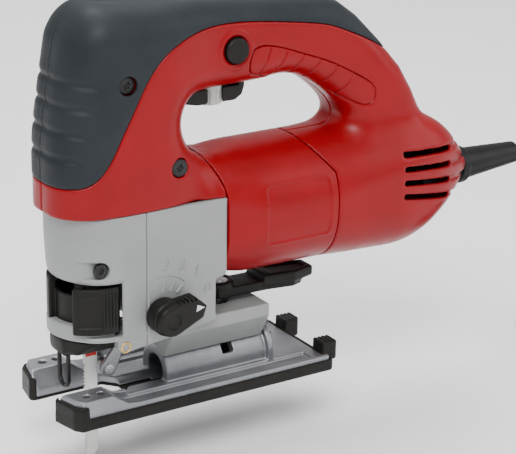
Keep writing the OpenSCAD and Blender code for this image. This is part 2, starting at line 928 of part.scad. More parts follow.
// Pin and shelf that carry the trigger, with the speed control board above.
module speed_module() {
    color([0.2, 0.35, 0.25]) {
        box([52, -9, 174], [84, 9, 192]);
        rod_y(-12, 12, 1.6, trigger_pivot[0], trigger_pivot[1]);
    }
}

// ---------------------------------------------------------------- shoe

slot_back_x = -34;
module shoe_outline(grow) {
    half = shoe_width / 2 - 1.8 + grow;
    inner = blade_slot_width / 2;
    front = -shoe_length / 2 + 1.8 - grow;
    back = shoe_length / 2 - 1 + grow;
    polygon([
        [back, -half + 2], [back, half - 2], [back - 2, half], [front + 3, half], [front, half - 4],
        [front - 3, inner + 2], [front - 1, inner], [slot_back_x - 6, inner], [slot_back_x, 6],
        [slot_back_x, -6], [slot_back_x - 6, -inner], [front - 1, -inner],
        [front - 3, -inner - 2], [front, -half + 4], [front + 3, -half], [back - 2, -half]
    ]);
}

// Aluminium casting: a plate with side rails, raised prongs and the half-round rocker.
module shoe_base() {
    rail_y = shoe_width / 2 - 1.8;
    inner_y = blade_slot_width / 2;
    color([0.62, 0.63, 0.65]) difference() {
        union() {
            plan_prism(1.8, 6.2) shoe_outline(0);
            intersection() {
                plan_prism(1.8, 20) shoe_outline(0);
                union() {
                    for (side = [-1, 1])
                        box([-60, side * (rail_y - 1.5) - 1.5, 1.8],
                            [big, side * (rail_y - 1.5) + 1.5, 8.6]);
                    side_prism(-40, 40)
                        polygon([
                            [-90, 2], [-90, 14.4], [-74, 15.6], [-57, 15.6], [-48, 9.6], [-40, 8.6],
                            [-40, 2]
                        ]);
                }
            }
            intersection() {
                rod_x(saddle_front_x + 1, saddle_back_x + 1.5, rocker_radius, 0, bevel_axis_z);
                box([-40, -30, 1.8], [60, 30, 30]);
            }
            intersection() {
                rod_x(saddle_back_x + 1.5, saddle_back_x + 5, rocker_radius + 3, 0, bevel_axis_z);
                box([-40, -30, 1.8], [60, 30, 30]);
            }
        }
        prong_holes();
        for (side = [-1, 1])
            cross_prism(-90, -45)
                polygon([[side * 10, 7], [side * inner_y, 7], [side * (inner_y + 5), 16], [side * 10, 16]]);
        rod_x(-40, 44, 8, 0, bevel_axis_z);
        clamp_slot();
        intersection() {
            plan_prism(4, 30) shoe_outline(-7);
            box([-52, -25.5, 4], [72, -16, 30]);
        }
        box([-44, 16, 4], [72, 25.5, 30]);
    }
}

// Slot across the rocker that lets the clamp screw through at any bevel.
module clamp_slot() {
    intersection() {
        box([clamp_x - 3.4, -30, bevel_axis_z], [clamp_x + 3.4, 30, 60]);
        difference() {
            rod_x(clamp_x - 8, clamp_x + 8, 30, 0, bevel_axis_z);
            rod_x(clamp_x - 9, clamp_x + 9, 7, 0, bevel_axis_z);
        }
        bevel_wedge();
    }
}

// Wedge of 68 degrees each way about the bevel axis.
module bevel_wedge() {
    translate([0, 0, bevel_axis_z])
        cross_prism(-50, 60) polygon([[0, 0], [48, 19], [0, 60], [-48, 19]]);
}

module prong_holes() {
    for (x = [-68.7, -60.7])
        for (y = [-25.2, 25.2])
            rod_z(0, 20, 2.2, x, y);
}

// Dark slide cover that snaps over the sole, with ribbed rear tabs.
module shoe_cover() {
    color([0.17, 0.16, 0.15]) {
        difference() {
            union() {
                plan_prism(0, 6.4) shoe_outline(1.8);
                intersection() {
                    plan_prism(0, 13) shoe_outline(1.8);
                    box([-100, -50, 0], [-71, 50, 20]);
                }
            }
            plan_prism(1.8, 20) shoe_outline(0.02);
            prong_holes();
        }
        for (side = [-1, 1]) {
            difference() {
                box([77.8, side * 19 - 5, 1], [87.5, side * 19 + 5, 12.5]);
                for (i = [0 : 2])
                    box([80 + i * 2.4, side * 19 - 6, 11.4], [81 + i * 2.4, side * 19 + 6, 13]);
            }
        }
    }
}

// ---------------------------------------------------------------- bevel clamp

clamp_x = 24;
module bevel_lever() {
    color([0.13, 0.13, 0.13]) difference() {
        union() {
            rod_z(44.3, 53, 9, clamp_x);
            plan_prism(44.3, 50)
                polygon([[20, -8.6], [50, -9.5], [66, -12], [72, -10], [72, 4], [50, 8], [24, 9]]);
            plan_prism(47, 53.5)
                polygon([[48, -10], [66, -13], [80, -9], [80, 2], [66, 5], [48, 8]]);
        }
        rod_z(40, 60, 3, clamp_x);
        rod_z(49, 60, 5.8, clamp_x);
    }
}

module clamp_screw() {
    color([0.75, 0.76, 0.78]) {
        rod_z(bevel_axis_z + 7.2, 53, 3, clamp_x);
        rod_z(49, 52.5, 5.7, clamp_x);
    }
}

module clamp_nut() {
    color([0.6, 0.61, 0.63]) difference() {
        rod_z(34.2, 38.5, 6, clamp_x);
        rod_z(30, 45, 3 + run, clamp_x);
    }
}

// ---------------------------------------------------------------- cord

protector_radius = 9;
protector_z = 92;
module cord_protector() {
    color([0.08, 0.08, 0.09]) {
        rod_x(166, 186, protector_radius, 0, protector_z);
        rod_x(182.5, 188, protector_radius + 1.8, 0, protector_z);
        translate([187.5, 0, protector_z]) rotate([0, 90 - 1.7, 0])
            cylinder(h = 39.5, r1 = protector_radius + 0.2, r2 = 6.3);
    }
}

module cord_clamp() {
    color([0.2, 0.2, 0.22]) difference() {
        box([150, -15, motor_z - 8], [160, 15, motor_z + 4]);
        rod_x(140, 170, cord_radius, 0, protector_z);
        for (y = [-11, 11]) rod_z(70, 110, 1.5, 150 + 5, y);
    }
}

// Rings of a tube along a route, each square to the route.
function route_ahead(route, i) =
    let (a = route[max(i - 1, 0)], b = route[min(i + 1, len(route) - 1)]) (b - a) / norm(b - a);
function tube_ring(route, i, radius, sides) =
    let (
        ahead = route_ahead(route, i),
        across = cross(ahead, [0.02, -0.3, 1]),
        u = across / norm(across),
        v = cross(u, ahead)
    )
    [for (k = [0 : sides - 1]) let (a = 360 * k / sides) route[i] + radius * (cos(a) * u + sin(a) * v)];

module tube(route, radius, sides) {
    rings = len(route);
    points = [for (i = [0 : rings - 1]) each tube_ring(route, i, radius, sides)];
    walls = [
        for (i = [0 : rings - 2])
            for (k = [0 : sides - 1])
                let (n = (k + 1) % sides)
                each [
                    [i * sides + k, i * sides + n, (i + 1) * sides + n],
                    [i * sides + k, (i + 1) * sides + n, (i + 1) * sides + k]
                ]
    ];
    caps = [
        [for (k = [sides - 1 : -1 : 0]) k],
        [for (k = [0 : sides - 1]) (rings - 1) * sides + k]
    ];
    polyhedron(points = points, faces = concat(walls, caps));
}

module cord_lead() {
    color([0.08, 0.08, 0.09]) tube(cord_route, cord_radius - 0.1, 10);
}

// Outer form of the cord's coil, lying on the floor.
module cord_coil() {
    color([0.08, 0.08, 0.09]) translate(coil_center) rotate_extrude($fn = 96)
        polygon([
            [coil_inner_radius + 2, 0], [coil_outer_radius - 2, 0], [coil_outer_radius, 3],
            [coil_outer_radius, coil_height - 5], [coil_outer_radius - 5, coil_height],
            [coil_inner_radius + 5, coil_height], [coil_inner_radius, coil_height - 5],
            [coil_inner_radius, 3]
        ]);
}

// Two-pin plug that lies on its flat side, in line with the end of the coil's last turn.
plug_half_width = 11.3;
plug_half_height = 9;
plug_back = 53;
plug_face = 84;
module on_plug_axis() {
    translate(coil_center + [0, 0, plug_half_height])
        rotate([0, 0, plug_turn]) translate([coil_turn_radius, 0, 0]) rotate([0, 0, 90]) children();
}

module plug_body() {
    color([0.08, 0.08, 0.09]) on_plug_axis() {
        rod_x(32, plug_back + 1, 5);
        for (i = [0 : 3]) rod_x(36 + i * 4.5, 38.5 + i * 4.5, 6);
        intersection() {
            rod_x(plug_back, plug_face, plug_half_width + 2);
            box([plug_back - 1, -plug_half_width, -plug_half_height],
                [plug_face + 1, plug_half_width, plug_half_height]);
        }
        box([plug_face - 4, -plug_half_width, -plug_half_height],
            [plug_face, plug_half_width, plug_half_height]);
    }
}

module plug_pins() {
    color([0.8, 0.72, 0.45]) on_plug_axis()
        for (side = [-1, 1])
            difference() {
                box([plug_face, side * 6.35 - 0.75, -3.15], [plug_face + 17, side * 6.35 + 0.75, 3.15]);
                rod_y(-10, 10, 1.5, plug_face + 13, 0);
            }
}

// ---------------------------------------------------------------- drawing

handle_shell_left();
handle_shell_right();
grip_left();
grip_right();
motor_housing();
gear_housing();
front_cover();
nose_guard();
wire_guard();
shell_screws();
cover_screws();
gearcase_screws();
switch_body();
speed_module();
stator();
field_coils();
brush_holders();
brushes();
brush_springs();
front_bearing();
rear_bearing();
cord_clamp();
cord_protector();
gear_pin();
carrier_pins();
fork_pin();
clamp_nut();
armature_shaft();
armature_core();
armature_windings();
commutator();
fan();
pinion();
drive_gear();
crank_pin();
counterweight();
plunger_carrier();
plunger_bushes();
plunger_rod();
yoke();
clamp_body();
clamp_collar();
blade();
roller_fork();
roller_rivet();
guide_roller();
selector_knob();
selector_shaft();
blade_lever();
trigger();
speed_dial();
lock_button();
shoe_base();
shoe_cover();
bevel_lever();
clamp_screw();
cord_lead();
cord_coil();
plug_body();
plug_pins();
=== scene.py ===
"""Barrel-handle jigsaw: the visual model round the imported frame.

Shapes are worked in millimetres and made in metres.
"""

import json
import math
from functools import reduce

import bpy
import numpy as np
from mathutils import Matrix, Vector


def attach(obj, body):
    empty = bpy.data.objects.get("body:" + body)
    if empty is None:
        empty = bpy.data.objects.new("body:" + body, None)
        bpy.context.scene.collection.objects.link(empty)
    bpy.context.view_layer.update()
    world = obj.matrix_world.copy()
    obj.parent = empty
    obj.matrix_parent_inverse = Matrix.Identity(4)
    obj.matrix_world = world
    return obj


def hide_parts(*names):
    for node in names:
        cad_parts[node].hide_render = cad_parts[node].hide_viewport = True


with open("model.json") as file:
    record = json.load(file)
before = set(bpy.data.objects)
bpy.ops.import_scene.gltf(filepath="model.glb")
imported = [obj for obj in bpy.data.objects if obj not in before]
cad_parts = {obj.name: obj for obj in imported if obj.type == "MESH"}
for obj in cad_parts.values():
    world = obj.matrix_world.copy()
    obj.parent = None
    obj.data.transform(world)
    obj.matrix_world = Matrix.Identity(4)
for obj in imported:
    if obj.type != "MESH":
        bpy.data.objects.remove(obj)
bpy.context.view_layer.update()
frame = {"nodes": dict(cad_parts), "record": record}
MM = 0.001
scene = bpy.context.scene

# ---------------- camera

CAMERA_PLACE = (-458.0, -784.3, 411.5)
CAMERA_YAW, CAMERA_PITCH, CAMERA_ROLL = 32.92, 19.65, 0.93
camera_data = bpy.data.cameras.new("camera")
camera_data.lens = 128.0
camera = bpy.data.objects.new("camera", camera_data)
scene.collection.objects.link(camera)
camera.matrix_world = (
    Matrix.Translation(Vector(CAMERA_PLACE) * MM)
    @ Matrix.Rotation(math.radians(-CAMERA_YAW), 4, "Z")
    @ Matrix.Rotation(math.radians(90 - CAMERA_PITCH), 4, "X")
    @ Matrix.Rotation(math.radians(CAMERA_ROLL), 4, "Z")
)
camera_data.clip_end = 20
scene.camera = camera

# ---------------- sizes shared with the CAD source

FLOOR = -35.0
CORD_RADIUS = 3.7
TURN_GAP = 7.6
CORD_EXIT = (227, 0, 93.2)
COIL_CENTRE = (297, -15)
COIL_TURN_RADIUS = 48.3
COIL_ROWS = 4
COIL_TURNS = 9
PLUG_RISE = 5.3
CORD_ROUTE = [
    CORD_EXIT, (238, 0, 92.8), (248, -1, 89.4), (256, -3, 82.6), (261, -6, 73.5), (263.2, -11.4, 62),
    (262.9, -18.4, 50), (261.7, -26.9, 38), (260.7, -35.6, 26), (261.3, -44.4, 14.5),
    (264.3, -52.6, 4.5), (270.1, -59.2, -2.8), (278.3, -63.2, -7), (288, -63.8, -8.4), (297, -63.3, -8.5),
]
PLUG_TURN = -40
CORD_Z = 92
MOTOR_Z = 94
PLUNGER_X = -53
CASE_TOP = 108.7
CASE_HALF = 27
BEVEL_Z = 9.5
LOCK = (22.1, 183.7)
SHELL_SCREWS = [(-43.9, 175.4), (-13.8, 128.4)]
COVER_SCREW = (-59, 81.3)
LIP_SCREW = (-46.6, 38.2)
SELECTOR = (-25.8, 52.6)
DIAL_X = 17.7
CLAMP_SCREW_X = 24
ROLLER_AXLE = (-45.75, 18.4)
FORK_PIVOT = (-38, 42)
SOLE_TOP = 1.8
SHOE_HOLES = [(x, y) for x in (-68.7, -60.7) for y in (-25.2, 25.2)]
BLADE_BACK = -49.4
BLADE_WIDTH = 8
BLADE_TOP = 65

# ---------------- materials


class Shader:
    """A Principled material and short calls that add nodes to it."""

    def __init__(self, name):
        self.material = bpy.data.materials.new(name)
        self.material.use_nodes = True
        self.tree = self.material.node_tree
        self.main = self.tree.nodes["Principled BSDF"]
        self.place = self.tree.nodes.new("ShaderNodeTexCoord").outputs["Object"]

    def put(self, **values):
        self.fill(self.main, values)

    def fill(self, node, values):
        """Sets a node's inputs, named with _ for spaces."""
        for name, value in values.items():
            node.inputs[name.replace("_", " ")].default_value = value
        return node

    def add(self, kind, **values):
        return self.fill(self.tree.nodes.new("ShaderNode" + kind), values)

    def link(self, a, b):
        self.tree.links.new(a, b)

    def noise(self, scale, detail=4, stretch=(1, 1, 1), rough=0.5):
        mapping = self.add("Mapping", Scale=stretch)
        node = self.add("TexNoise", Scale=scale, Detail=detail, Roughness=rough)
        self.link(self.place, mapping.inputs["Vector"])
        self.link(mapping.outputs["Vector"], node.inputs["Vector"])
        return node.outputs["Fac"]

    def ramp(self, value, low, high, start=0.3, end=0.7):
        node = self.add("MapRange", From_Min=start, From_Max=end, To_Min=low, To_Max=high)
        self.link(value, node.inputs["Value"])
        return node.outputs["Result"]

    def mix(self, factor, a, b):
        node = self.add("Mix")
        node.data_type = "RGBA"
        self.link(factor, node.inputs["Factor"])
        for name, colour in (("A", a), ("B", b)):
            socket = [s for s in node.inputs if s.name == name and s.type == "RGBA"][0]
            if isinstance(colour, tuple):
                socket.default_value = (*colour, 1)
            else:
                self.link(colour, socket)
        return [s for s in node.outputs if s.type == "RGBA"][0]

    def edges(self, strength=1.0, size=0.0012):
        """1 on outer edges, from the bevelled normal turning away from the real one."""
        bevel = self.add("Bevel", Radius=size)
        bevel.samples = 4
        geometry = self.add("NewGeometry")
        dot = self.add("VectorMath")
        dot.operation = "DOT_PRODUCT"
        self.link(bevel.outputs["Normal"], dot.inputs[0])
        self.link(geometry.outputs["Normal"], dot.inputs[1])
        return self.ramp(dot.outputs["Value"], strength, 0, 0.86, 0.985)

    def colour(self, source):
        self.link(source, self.main.inputs["Base Color"])

    def roughness(self, source):
        self.link(source, self.main.inputs["Roughness"])

    def bump(self, source, distance):
        node = self.add("Bump", Distance=distance, Strength=1.0)
        self.link(source, node.inputs["Height"])
        self.link(node.outputs["Normal"], self.main.inputs["Normal"])


def moulded(name, dark, light, rough, grain, depth, coat=0.0, worn=None):
    """Moulded plastic or rubber: mottled colour, spark-eroded grain and slightly worn edges."""
    s = Shader(name)
    mottle = s.ramp(s.noise(38, 3), 0, 1)
    base = s.mix(mottle, dark, light)
    if worn:
        base = s.mix(s.edges(0.55), base, worn)
    s.colour(base)
    s.roughness(s.ramp(s.noise(120, 5), rough - 0.05, rough + 0.06))
    s.bump(s.noise(grain, 3, rough=0.65), depth)
    s.put(Coat_Weight=coat, Coat_Roughness=0.25, Specular_IOR_Level=0.2)
    return s.material


def metal(name, dark, light, rough, stretch, scale, depth, metallic=1.0, worn=None):
    """Worked metal: fine marks along one axis, uneven polish and bright edges."""
    s = Shader(name)
    base = s.mix(s.ramp(s.noise(55, 4), 0, 1), dark, light)
    if worn:
        base = s.mix(s.edges(0.7, 0.0008), base, worn)
    s.colour(base)
    s.roughness(s.ramp(s.noise(scale, 5, stretch), rough - 0.07, rough + 0.09))
    s.bump(s.noise(scale, 4, stretch), depth)
    s.put(Metallic=metallic)
    return s.material


def laminated(name):
    """Stacked sheet steel: fine rings along X."""
    s = Shader(name)
    s.colour(s.mix(s.noise(900, 2, (1, 0.02, 0.02)), (0.13, 0.13, 0.14), (0.33, 0.33, 0.35)))
    s.roughness(s.ramp(s.noise(60, 3), 0.35, 0.55))
    s.bump(s.noise(900, 2, (1, 0.02, 0.02)), 0.0001)
    s.put(Metallic=1.0)
    return s.material


# dark and light colour, roughness, scale and depth of the grain, clear coat, worn edges
MOULDED = {
    "red_shell": (
        (0.215, 0.0002, 0.003), (0.25, 0.0003, 0.004), 0.34, 900, 0.00004, 0.03, (0.28, 0.001, 0.005),
    ),
    "soft_grip": (
        (0.0126, 0.01596, 0.01932), (0.01764, 0.02184, 0.02604),
        0.52, 1300, 0.00007, 0, (0.0315, 0.0378, 0.042),
    ),
    "black_plastic": (
        (0.0056, 0.00525, 0.00455), (0.0091, 0.0084, 0.00735),
        0.45, 1100, 0.00006, 0, (0.021, 0.021, 0.01925),
    ),
    "dark_plastic": (
        (0.01, 0.009, 0.0085), (0.016, 0.0145, 0.0135), 0.5, 1000, 0.00006, 0, (0.035, 0.0325, 0.03),
    ),
    "cord_rubber": (
        (0.0054, 0.0054, 0.006), (0.0102, 0.0102, 0.0114), 0.42, 700, 0.00004, 0, (0.024, 0.024, 0.0252),
    ),
    "carbon": ((0.02, 0.02, 0.02), (0.04, 0.04, 0.04), 0.6, 1500, 0.0001),
    "silver_plastic": ((0.42, 0.42, 0.40), (0.52, 0.52, 0.49), 0.34, 900, 0.00003, 0.1, (0.7, 0.7, 0.68)),
    "blade_white": ((0.80, 0.80, 0.78), (0.90, 0.90, 0.88), 0.35, 500, 0.00002, 0.2, (0.6, 0.6, 0.6)),
    "blade_red": ((0.52, 0.02, 0.02), (0.6, 0.03, 0.03), 0.35, 500, 0.00002),
    "pale_mark": ((0.55, 0.56, 0.55), (0.66, 0.67, 0.66), 0.5, 700, 0.00003),
}
# dark and light colour, roughness, stretch, scale and depth of the marks, metallic, worn edges
METAL = {
    "grey_casting": (
        (0.2387, 0.2511, 0.2449), (0.2666, 0.279, 0.2728),
        0.46, (1, 1, 1), 1200, 0.00005, 0.15, (0.341, 0.3472, 0.341),
    ),
    "shoe_casting": (
        (0.234, 0.2418, 0.2613), (0.312, 0.3198, 0.3354),
        0.42, (1, 1, 1), 700, 0.00012, 0.85, (0.4836, 0.4914, 0.507),
    ),
    "black_steel": (
        (0.011, 0.011, 0.0115), (0.0225, 0.0225, 0.0235),
        0.38, (1, 1, 1), 500, 0.00003, 0.6, (0.15, 0.15, 0.15),
    ),
    "steel": ((0.50, 0.51, 0.53), (0.62, 0.63, 0.65), 0.26, (1, 1, 14), 300, 0.00003, 1.0, (0.8, 0.8, 0.8)),
    "copper": ((0.42, 0.14, 0.05), (0.58, 0.22, 0.09), 0.32, (1, 9, 9), 500, 0.0001),
    "brass": ((0.50, 0.34, 0.11), (0.62, 0.44, 0.17), 0.3, (1, 1, 1), 400, 0.00003, 1.0, (0.8, 0.66, 0.35)),
}
M = {"lamination": laminated("lamination")}
M.update((name, moulded(name, *look)) for name, look in MOULDED.items())
M.update((name, metal(name, *look)) for name, look in METAL.items())

SLOT_OF = {p["node"]: p["material_slot"] for p in frame["record"]["subparts"]}
BODY_OF = {n: body for body, nodes in frame["record"]["behaviour"]["bodies"].items() for n in nodes}
for node, mesh_object in frame["nodes"].items():
    mesh_object.data.materials.clear()
    mesh_object.data.materials.append(M[SLOT_OF[node]])

# ---------------- cord


def smooth_route(points, per_span):
    """A Catmull-Rom line through given points."""
    points = [np.array(p, float) for p in points]
    padded = [2 * points[0] - points[1], *points, 2 * points[-1] - points[-2]]
    line = []
    for a, b, c, d in zip(padded, padded[1:], padded[2:], padded[3:]):
        for t in np.arange(per_span) / per_span:
            square = (2 * a - 5 * b + 4 * c - d) * t * t
            cube = (3 * b - a - 3 * c + d) * t ** 3
            line.append(0.5 * (2 * b + (c - a) * t + square + cube))
    return line + [points[-1]]


def smooth_step(v):
    v = np.clip(v, 0, 1)
    return v * v * (3 - 2 * v)


def coil_line():
    """Rows of turns, one on the other: the top row winds in, the next one out, down to the floor."""
    top = FLOOR + CORD_RADIUS + (COIL_ROWS - 1) * TURN_GAP
    sweep = 2 * math.pi * (COIL_TURNS + (PLUG_TURN + 90) / 360)
    row_sweep = sweep / COIL_ROWS
    count = int(sweep * 10)
    line = []
    for i in range(1, count + 1):
        turned = sweep * i / count
        row = min(COIL_ROWS - 1, int(turned / row_sweep))
        within = turned - row * row_sweep
        inward = within if row % 2 == 0 else row_sweep - within
        radius = COIL_TURN_RADIUS - TURN_GAP * inward / (2 * math.pi)
        drop = sum(smooth_step((turned - n * row_sweep) / 1.2 + 0.5) for n in range(1, COIL_ROWS))
        angle = turned - math.pi / 2
        x, y = COIL_CENTRE[0] + radius * math.cos(angle), COIL_CENTRE[1] + radius * math.sin(angle)
        line.append(np.array([x, y, top - TURN_GAP * drop]))
    return line


def cord_line():
    """The cord's middle line, from the tool round the coil to the plug."""
    line = smooth_route(CORD_ROUTE, 6) + coil_line()
    heading = math.radians(PLUG_TURN + 90)
    end = line[-1]
    for along in (8, 16, 20, 24, 28, 32, 36, 42):
        rise = PLUG_RISE * smooth_step((along - 16) / 20)
        line.append(end + np.array([along * math.cos(heading), along * math.sin(heading), rise]))
    return line


def wires(name, material, lines, radius, resolution=4):
    """One object of round wires along lines of points in millimetres."""
    curve = bpy.data.curves.new(name, "CURVE")
    curve.dimensions = "3D"
    curve.bevel_depth = radius * MM
    curve.bevel_resolution = resolution
    curve.use_fill_caps = True
    for line in lines:
        spline = curve.splines.new("POLY")
        spline.points.add(len(line) - 1)
        for point, place in zip(spline.points, line):
            point.co = (*(np.array(place) * MM), 1)
    curve.materials.append(M[material])
    obj = bpy.data.objects.new(name, curve)
    scene.collection.objects.link(obj)
    return obj


cord = wires("cord", "cord_rubber", [cord_line()], CORD_RADIUS, 5)
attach(cord, "housing")
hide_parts("cord_lead", "cord_coil")

# ---------------- fields: solids as signed distances


class Grid:
    """Sample points of a box, in millimetres. x, y and z broadcast against each other."""

    def __init__(self, low, high, step):
        self.low, self.step = np.array(low, float), step
        self.shape = tuple(math.ceil((b - a) / step) + 1 for a, b in zip(low, high))
        steps = [np.arange(n, dtype=np.float32) * np.float32(step) for n in self.shape]
        self.x, self.y, self.z = np.ix_(*[np.float32(a) + line for a, line in zip(low, steps)])


def smin(a, b, k):
    """Union with a fillet of about k."""
    h = np.maximum(k - np.abs(a - b), 0) / k
    return np.minimum(a, b) - h * h * (k * 0.25)


def smax(a, b, k):
    """Intersection with its edge rounded by about k."""
    h = np.maximum(k - np.abs(a - b), 0) / k
    return np.maximum(a, b) + h * h * (k * 0.25)


def cut(a, b, k=0.5):
    return smax(a, -b, k)


def rounded(qs, r):
    """Distance to a product of intervals, its edges rounded by r."""
    outside = sum(np.maximum(q + r, 0) ** 2 for q in qs)
    inside = qs[0]
    for q in qs[1:]:
        inside = np.maximum(inside, q)
    return np.sqrt(outside) - r + np.minimum(inside + r, 0)


def lowest(fields):
    """Plain union of several fields."""
    return reduce(np.minimum, fields)


def span(v, start, end):
    """Distance to the interval from start to end."""
    return np.abs(v - (start + end) / 2) - (end - start) / 2


def box(g, low, high, r=0.0):
    return rounded([span(v, a, b) for v, a, b in zip((g.x, g.y, g.z), low, high)], r)


def split(g, axis):
    """The coordinate along an axis, and the other two in order."""
    values = {"x": g.x, "y": g.y, "z": g.z}
    return values.pop(axis), *values.values()


def rod(g, axis, start, end, radius, first=0.0, second=0.0, r=0.0):
    """A cylinder along an axis; first and second are its place on the other two."""
    along, u, v = split(g, axis)
    ring = np.sqrt((u - first) ** 2 + (v - second) ** 2) - radius
    return rounded([ring, span(along, start, end)], r)


def bored(g, field, holes):
    """Cuts a row of holes; each is the rounding of its edge, then what rod takes."""
    for k, *hole in holes:
        field = cut(field, rod(g, *hole), k)
    return field


def outline(u, v, points):
    """Signed distance to a closed polygon, negative inside."""
    best = np.full(np.broadcast(u, v).shape, 1e9, np.float32)
    inside = np.zeros(best.shape, bool)
    for (ax, ay), (bx, by) in zip(points, points[1:] + points[:1]):
        ex, ey = bx - ax, by - ay
        wx, wy = u - ax, v - ay
        t = np.clip((wx * ex + wy * ey) / (ex * ex + ey * ey), 0, 1)
        best = np.minimum(best, (wx - ex * t) ** 2 + (wy - ey * t) ** 2)
        if ay != by:
            inside ^= ((ay > v) != (by > v)) & (u < ex * (v - ay) / ey + ax)
    return np.where(inside, -1, 1) * np.sqrt(best)


def soft(points, passes=2):
    """Cuts the corners of a closed polygon, so that it runs smoothly."""
    for _ in range(passes):
        points = [
            tuple(w * p + (1 - w) * q for p, q in zip(a, b))
            for a, b in zip(points, points[1:] + points[:1])
            for w in (0.75, 0.25)
        ]
    return points


def prism(g, axis, start, end, points, r=0.0):
    """A polygon extruded along an axis, in the other two axes' coordinates."""
    along, u, v = split(g, axis)
    return rounded([outline(u, v, points), span(along, start, end)], r)


def keyed(values, keys, blur):
    """Numbers that follow (place, value) keys, blurred so that they change smoothly."""
    xs, ys = zip(*keys)
    flat = np.asarray(values, float).ravel()
    out = np.zeros(flat.shape)
    for shift in np.linspace(-1, 1, 9):
        out += np.interp(flat + shift * blur, xs, ys)
    return (out / 9).reshape(np.shape(values)).astype(np.float32)


CORNERS = [(i, j, k) for i in (0, 1) for j in (0, 1) for k in (0, 1)]
EDGES = [(a, b) for a in CORNERS for b in CORNERS if a < b and sum(abs(p - q) for p, q in zip(a, b)) == 1]


def surface(g, field):
    """Points and quads of the field's zero level, one point to each cell that it crosses."""
    field = np.broadcast_to(field, g.shape).astype(np.float32)
    inside = field < 0
    size = [n - 1 for n in g.shape]
    count = np.zeros(size, np.uint8)
    for corner in CORNERS:
        count += inside[tuple(slice(c, c + n) for c, n in zip(corner, size))]
    cells = np.argwhere((count > 0) & (count < 8))
    index = np.full(size, -1, np.int32)
    index[tuple(cells.T)] = np.arange(len(cells))
    total, hits = np.zeros((len(cells), 3)), np.zeros(len(cells))
    for a, b in EDGES:
        fa = field[tuple((cells + a).T)]
        fb = field[tuple((cells + b).T)]
        hit = (fa < 0) != (fb < 0)
        t = np.where(hit, fa / np.where(hit, fa - fb, 1), 0)[:, None]
        total += hit[:, None] * (np.array(a) + t * (np.array(b) - np.array(a)))
        hits += hit
    points = cells + total / hits[:, None]
    quads = []
    for axis in range(3):
        one = [slice(1, n) for n in size]
        two = list(one)
        one[axis], two[axis] = slice(0, size[axis]), slice(1, size[axis] + 1)
        crossing = inside[tuple(one)] != inside[tuple(two)]
        at = np.argwhere(crossing)
        rising = inside[tuple(one)][tuple(at.T)]
        base = at + [0 if n == axis else 1 for n in range(3)]
        p, q = [n for n in range(3) if n != axis]
        if axis == 1:
            p, q = q, p
        step_p, step_q = np.eye(3, dtype=int)[p], np.eye(3, dtype=int)[q]
        ring = [index[tuple((base - s).T)] for s in (step_p + step_q, step_q, 0 * step_q, step_p)]
        ring = np.stack(ring, 1)
        quads.append(np.where(rising[:, None], ring, ring[:, ::-1]))
    quads = np.concatenate(quads)
    for _ in range(2):
        points = settle(field, points)
    return g.low + points * g.step, quads


def settle(field, points):
    """Moves points, in cells, onto the field's zero level inside their cells."""
    cell = np.clip(np.floor(points).astype(int), 0, np.array(field.shape) - 2)
    t = points - cell
    value, slope = np.zeros(len(points)), np.zeros((len(points), 3))
    for corner in CORNERS:
        f = field[tuple((cell + corner).T)]
        w = [t[:, n] if corner[n] else 1 - t[:, n] for n in range(3)]
        value += f * w[0] * w[1] * w[2]
        for n in range(3):
            sign = 1 if corner[n] else -1
            others = [w[m] for m in range(3) if m != n]
            slope[:, n] += sign * f * others[0] * others[1]
    move = value[:, None] * slope / np.maximum((slope ** 2).sum(1), 1e-6)[:, None]
    return points - np.clip(move, -0.4, 0.4)


def place_piece(obj, node=None, body=None):
    """Joins a piece to the body that it moves with. With node it stands for that CAD node."""
    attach(obj, body or BODY_OF[node])
    if node:
        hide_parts(node)


def piece(name, g, field, material, node=None, body=None, flip=False):
    """Makes a smooth mesh from a field. flip mirrors it across the plane of the blade."""
    points, quads = surface(g, field)
    if flip:
        points = points * [1, -1, 1]
        quads = quads[:, ::-1]
    mesh = bpy.data.meshes.new(name)
    mesh.vertices.add(len(points))
    mesh.vertices.foreach_set("co", (points * MM).astype(np.float32).ravel())
    mesh.loops.add(quads.size)
    mesh.loops.foreach_set("vertex_index", quads.astype(np.int32).ravel())
    mesh.polygons.add(len(quads))
    mesh.polygons.foreach_set("loop_start", np.arange(0, quads.size, 4, dtype=np.int32))
    mesh.polygons.foreach_set("use_smooth", np.ones(len(quads), bool))
    mesh.update(calc_edges=True)
    mesh.validate()
    mesh.materials.append(M[material])
    obj = bpy.data.objects.new(name, mesh)
    scene.collection.objects.link(obj)
    place_piece(obj, node, body)


# ---------------- outer form of the handle and the motor

SIDE = [
    (-110, 80), (-110, 215.5), (-60, 213.5), (-38, 212), (0, 209.5), (42, 205.8), (78, 203),
    (91, 199.5), (102, 191.5), (117, 176.5), (131, 161), (139, 148), (145, 136), (150, 124), (150, 85),
]
LOOP = soft([
    (4, 131.5), (-3, 136), (-7, 145), (-7, 153), (-3.5, 160), (3, 163.3), (41, 163.3),
    (54, 165.5), (64, 163.8),
    (74, 159.5), (86, 151), (94.5, 142), (96.5, 135), (94, 124), (90, 85), (15, 85), (13.6, 122),
])
PLAN = [
    (-79, 0), (-79, 9), (-75.5, 17.5), (-67.5, 24.3), (-55, 27.4), (-22, 27.4), (-6, 24.5),
    (8, 21), (28, 19.5),
    (96, 19.5), (118, 21.5), (150, 22), (170, 20),
]
PLAN = soft([(x, -y) for x, y in PLAN] + PLAN[:0:-1])
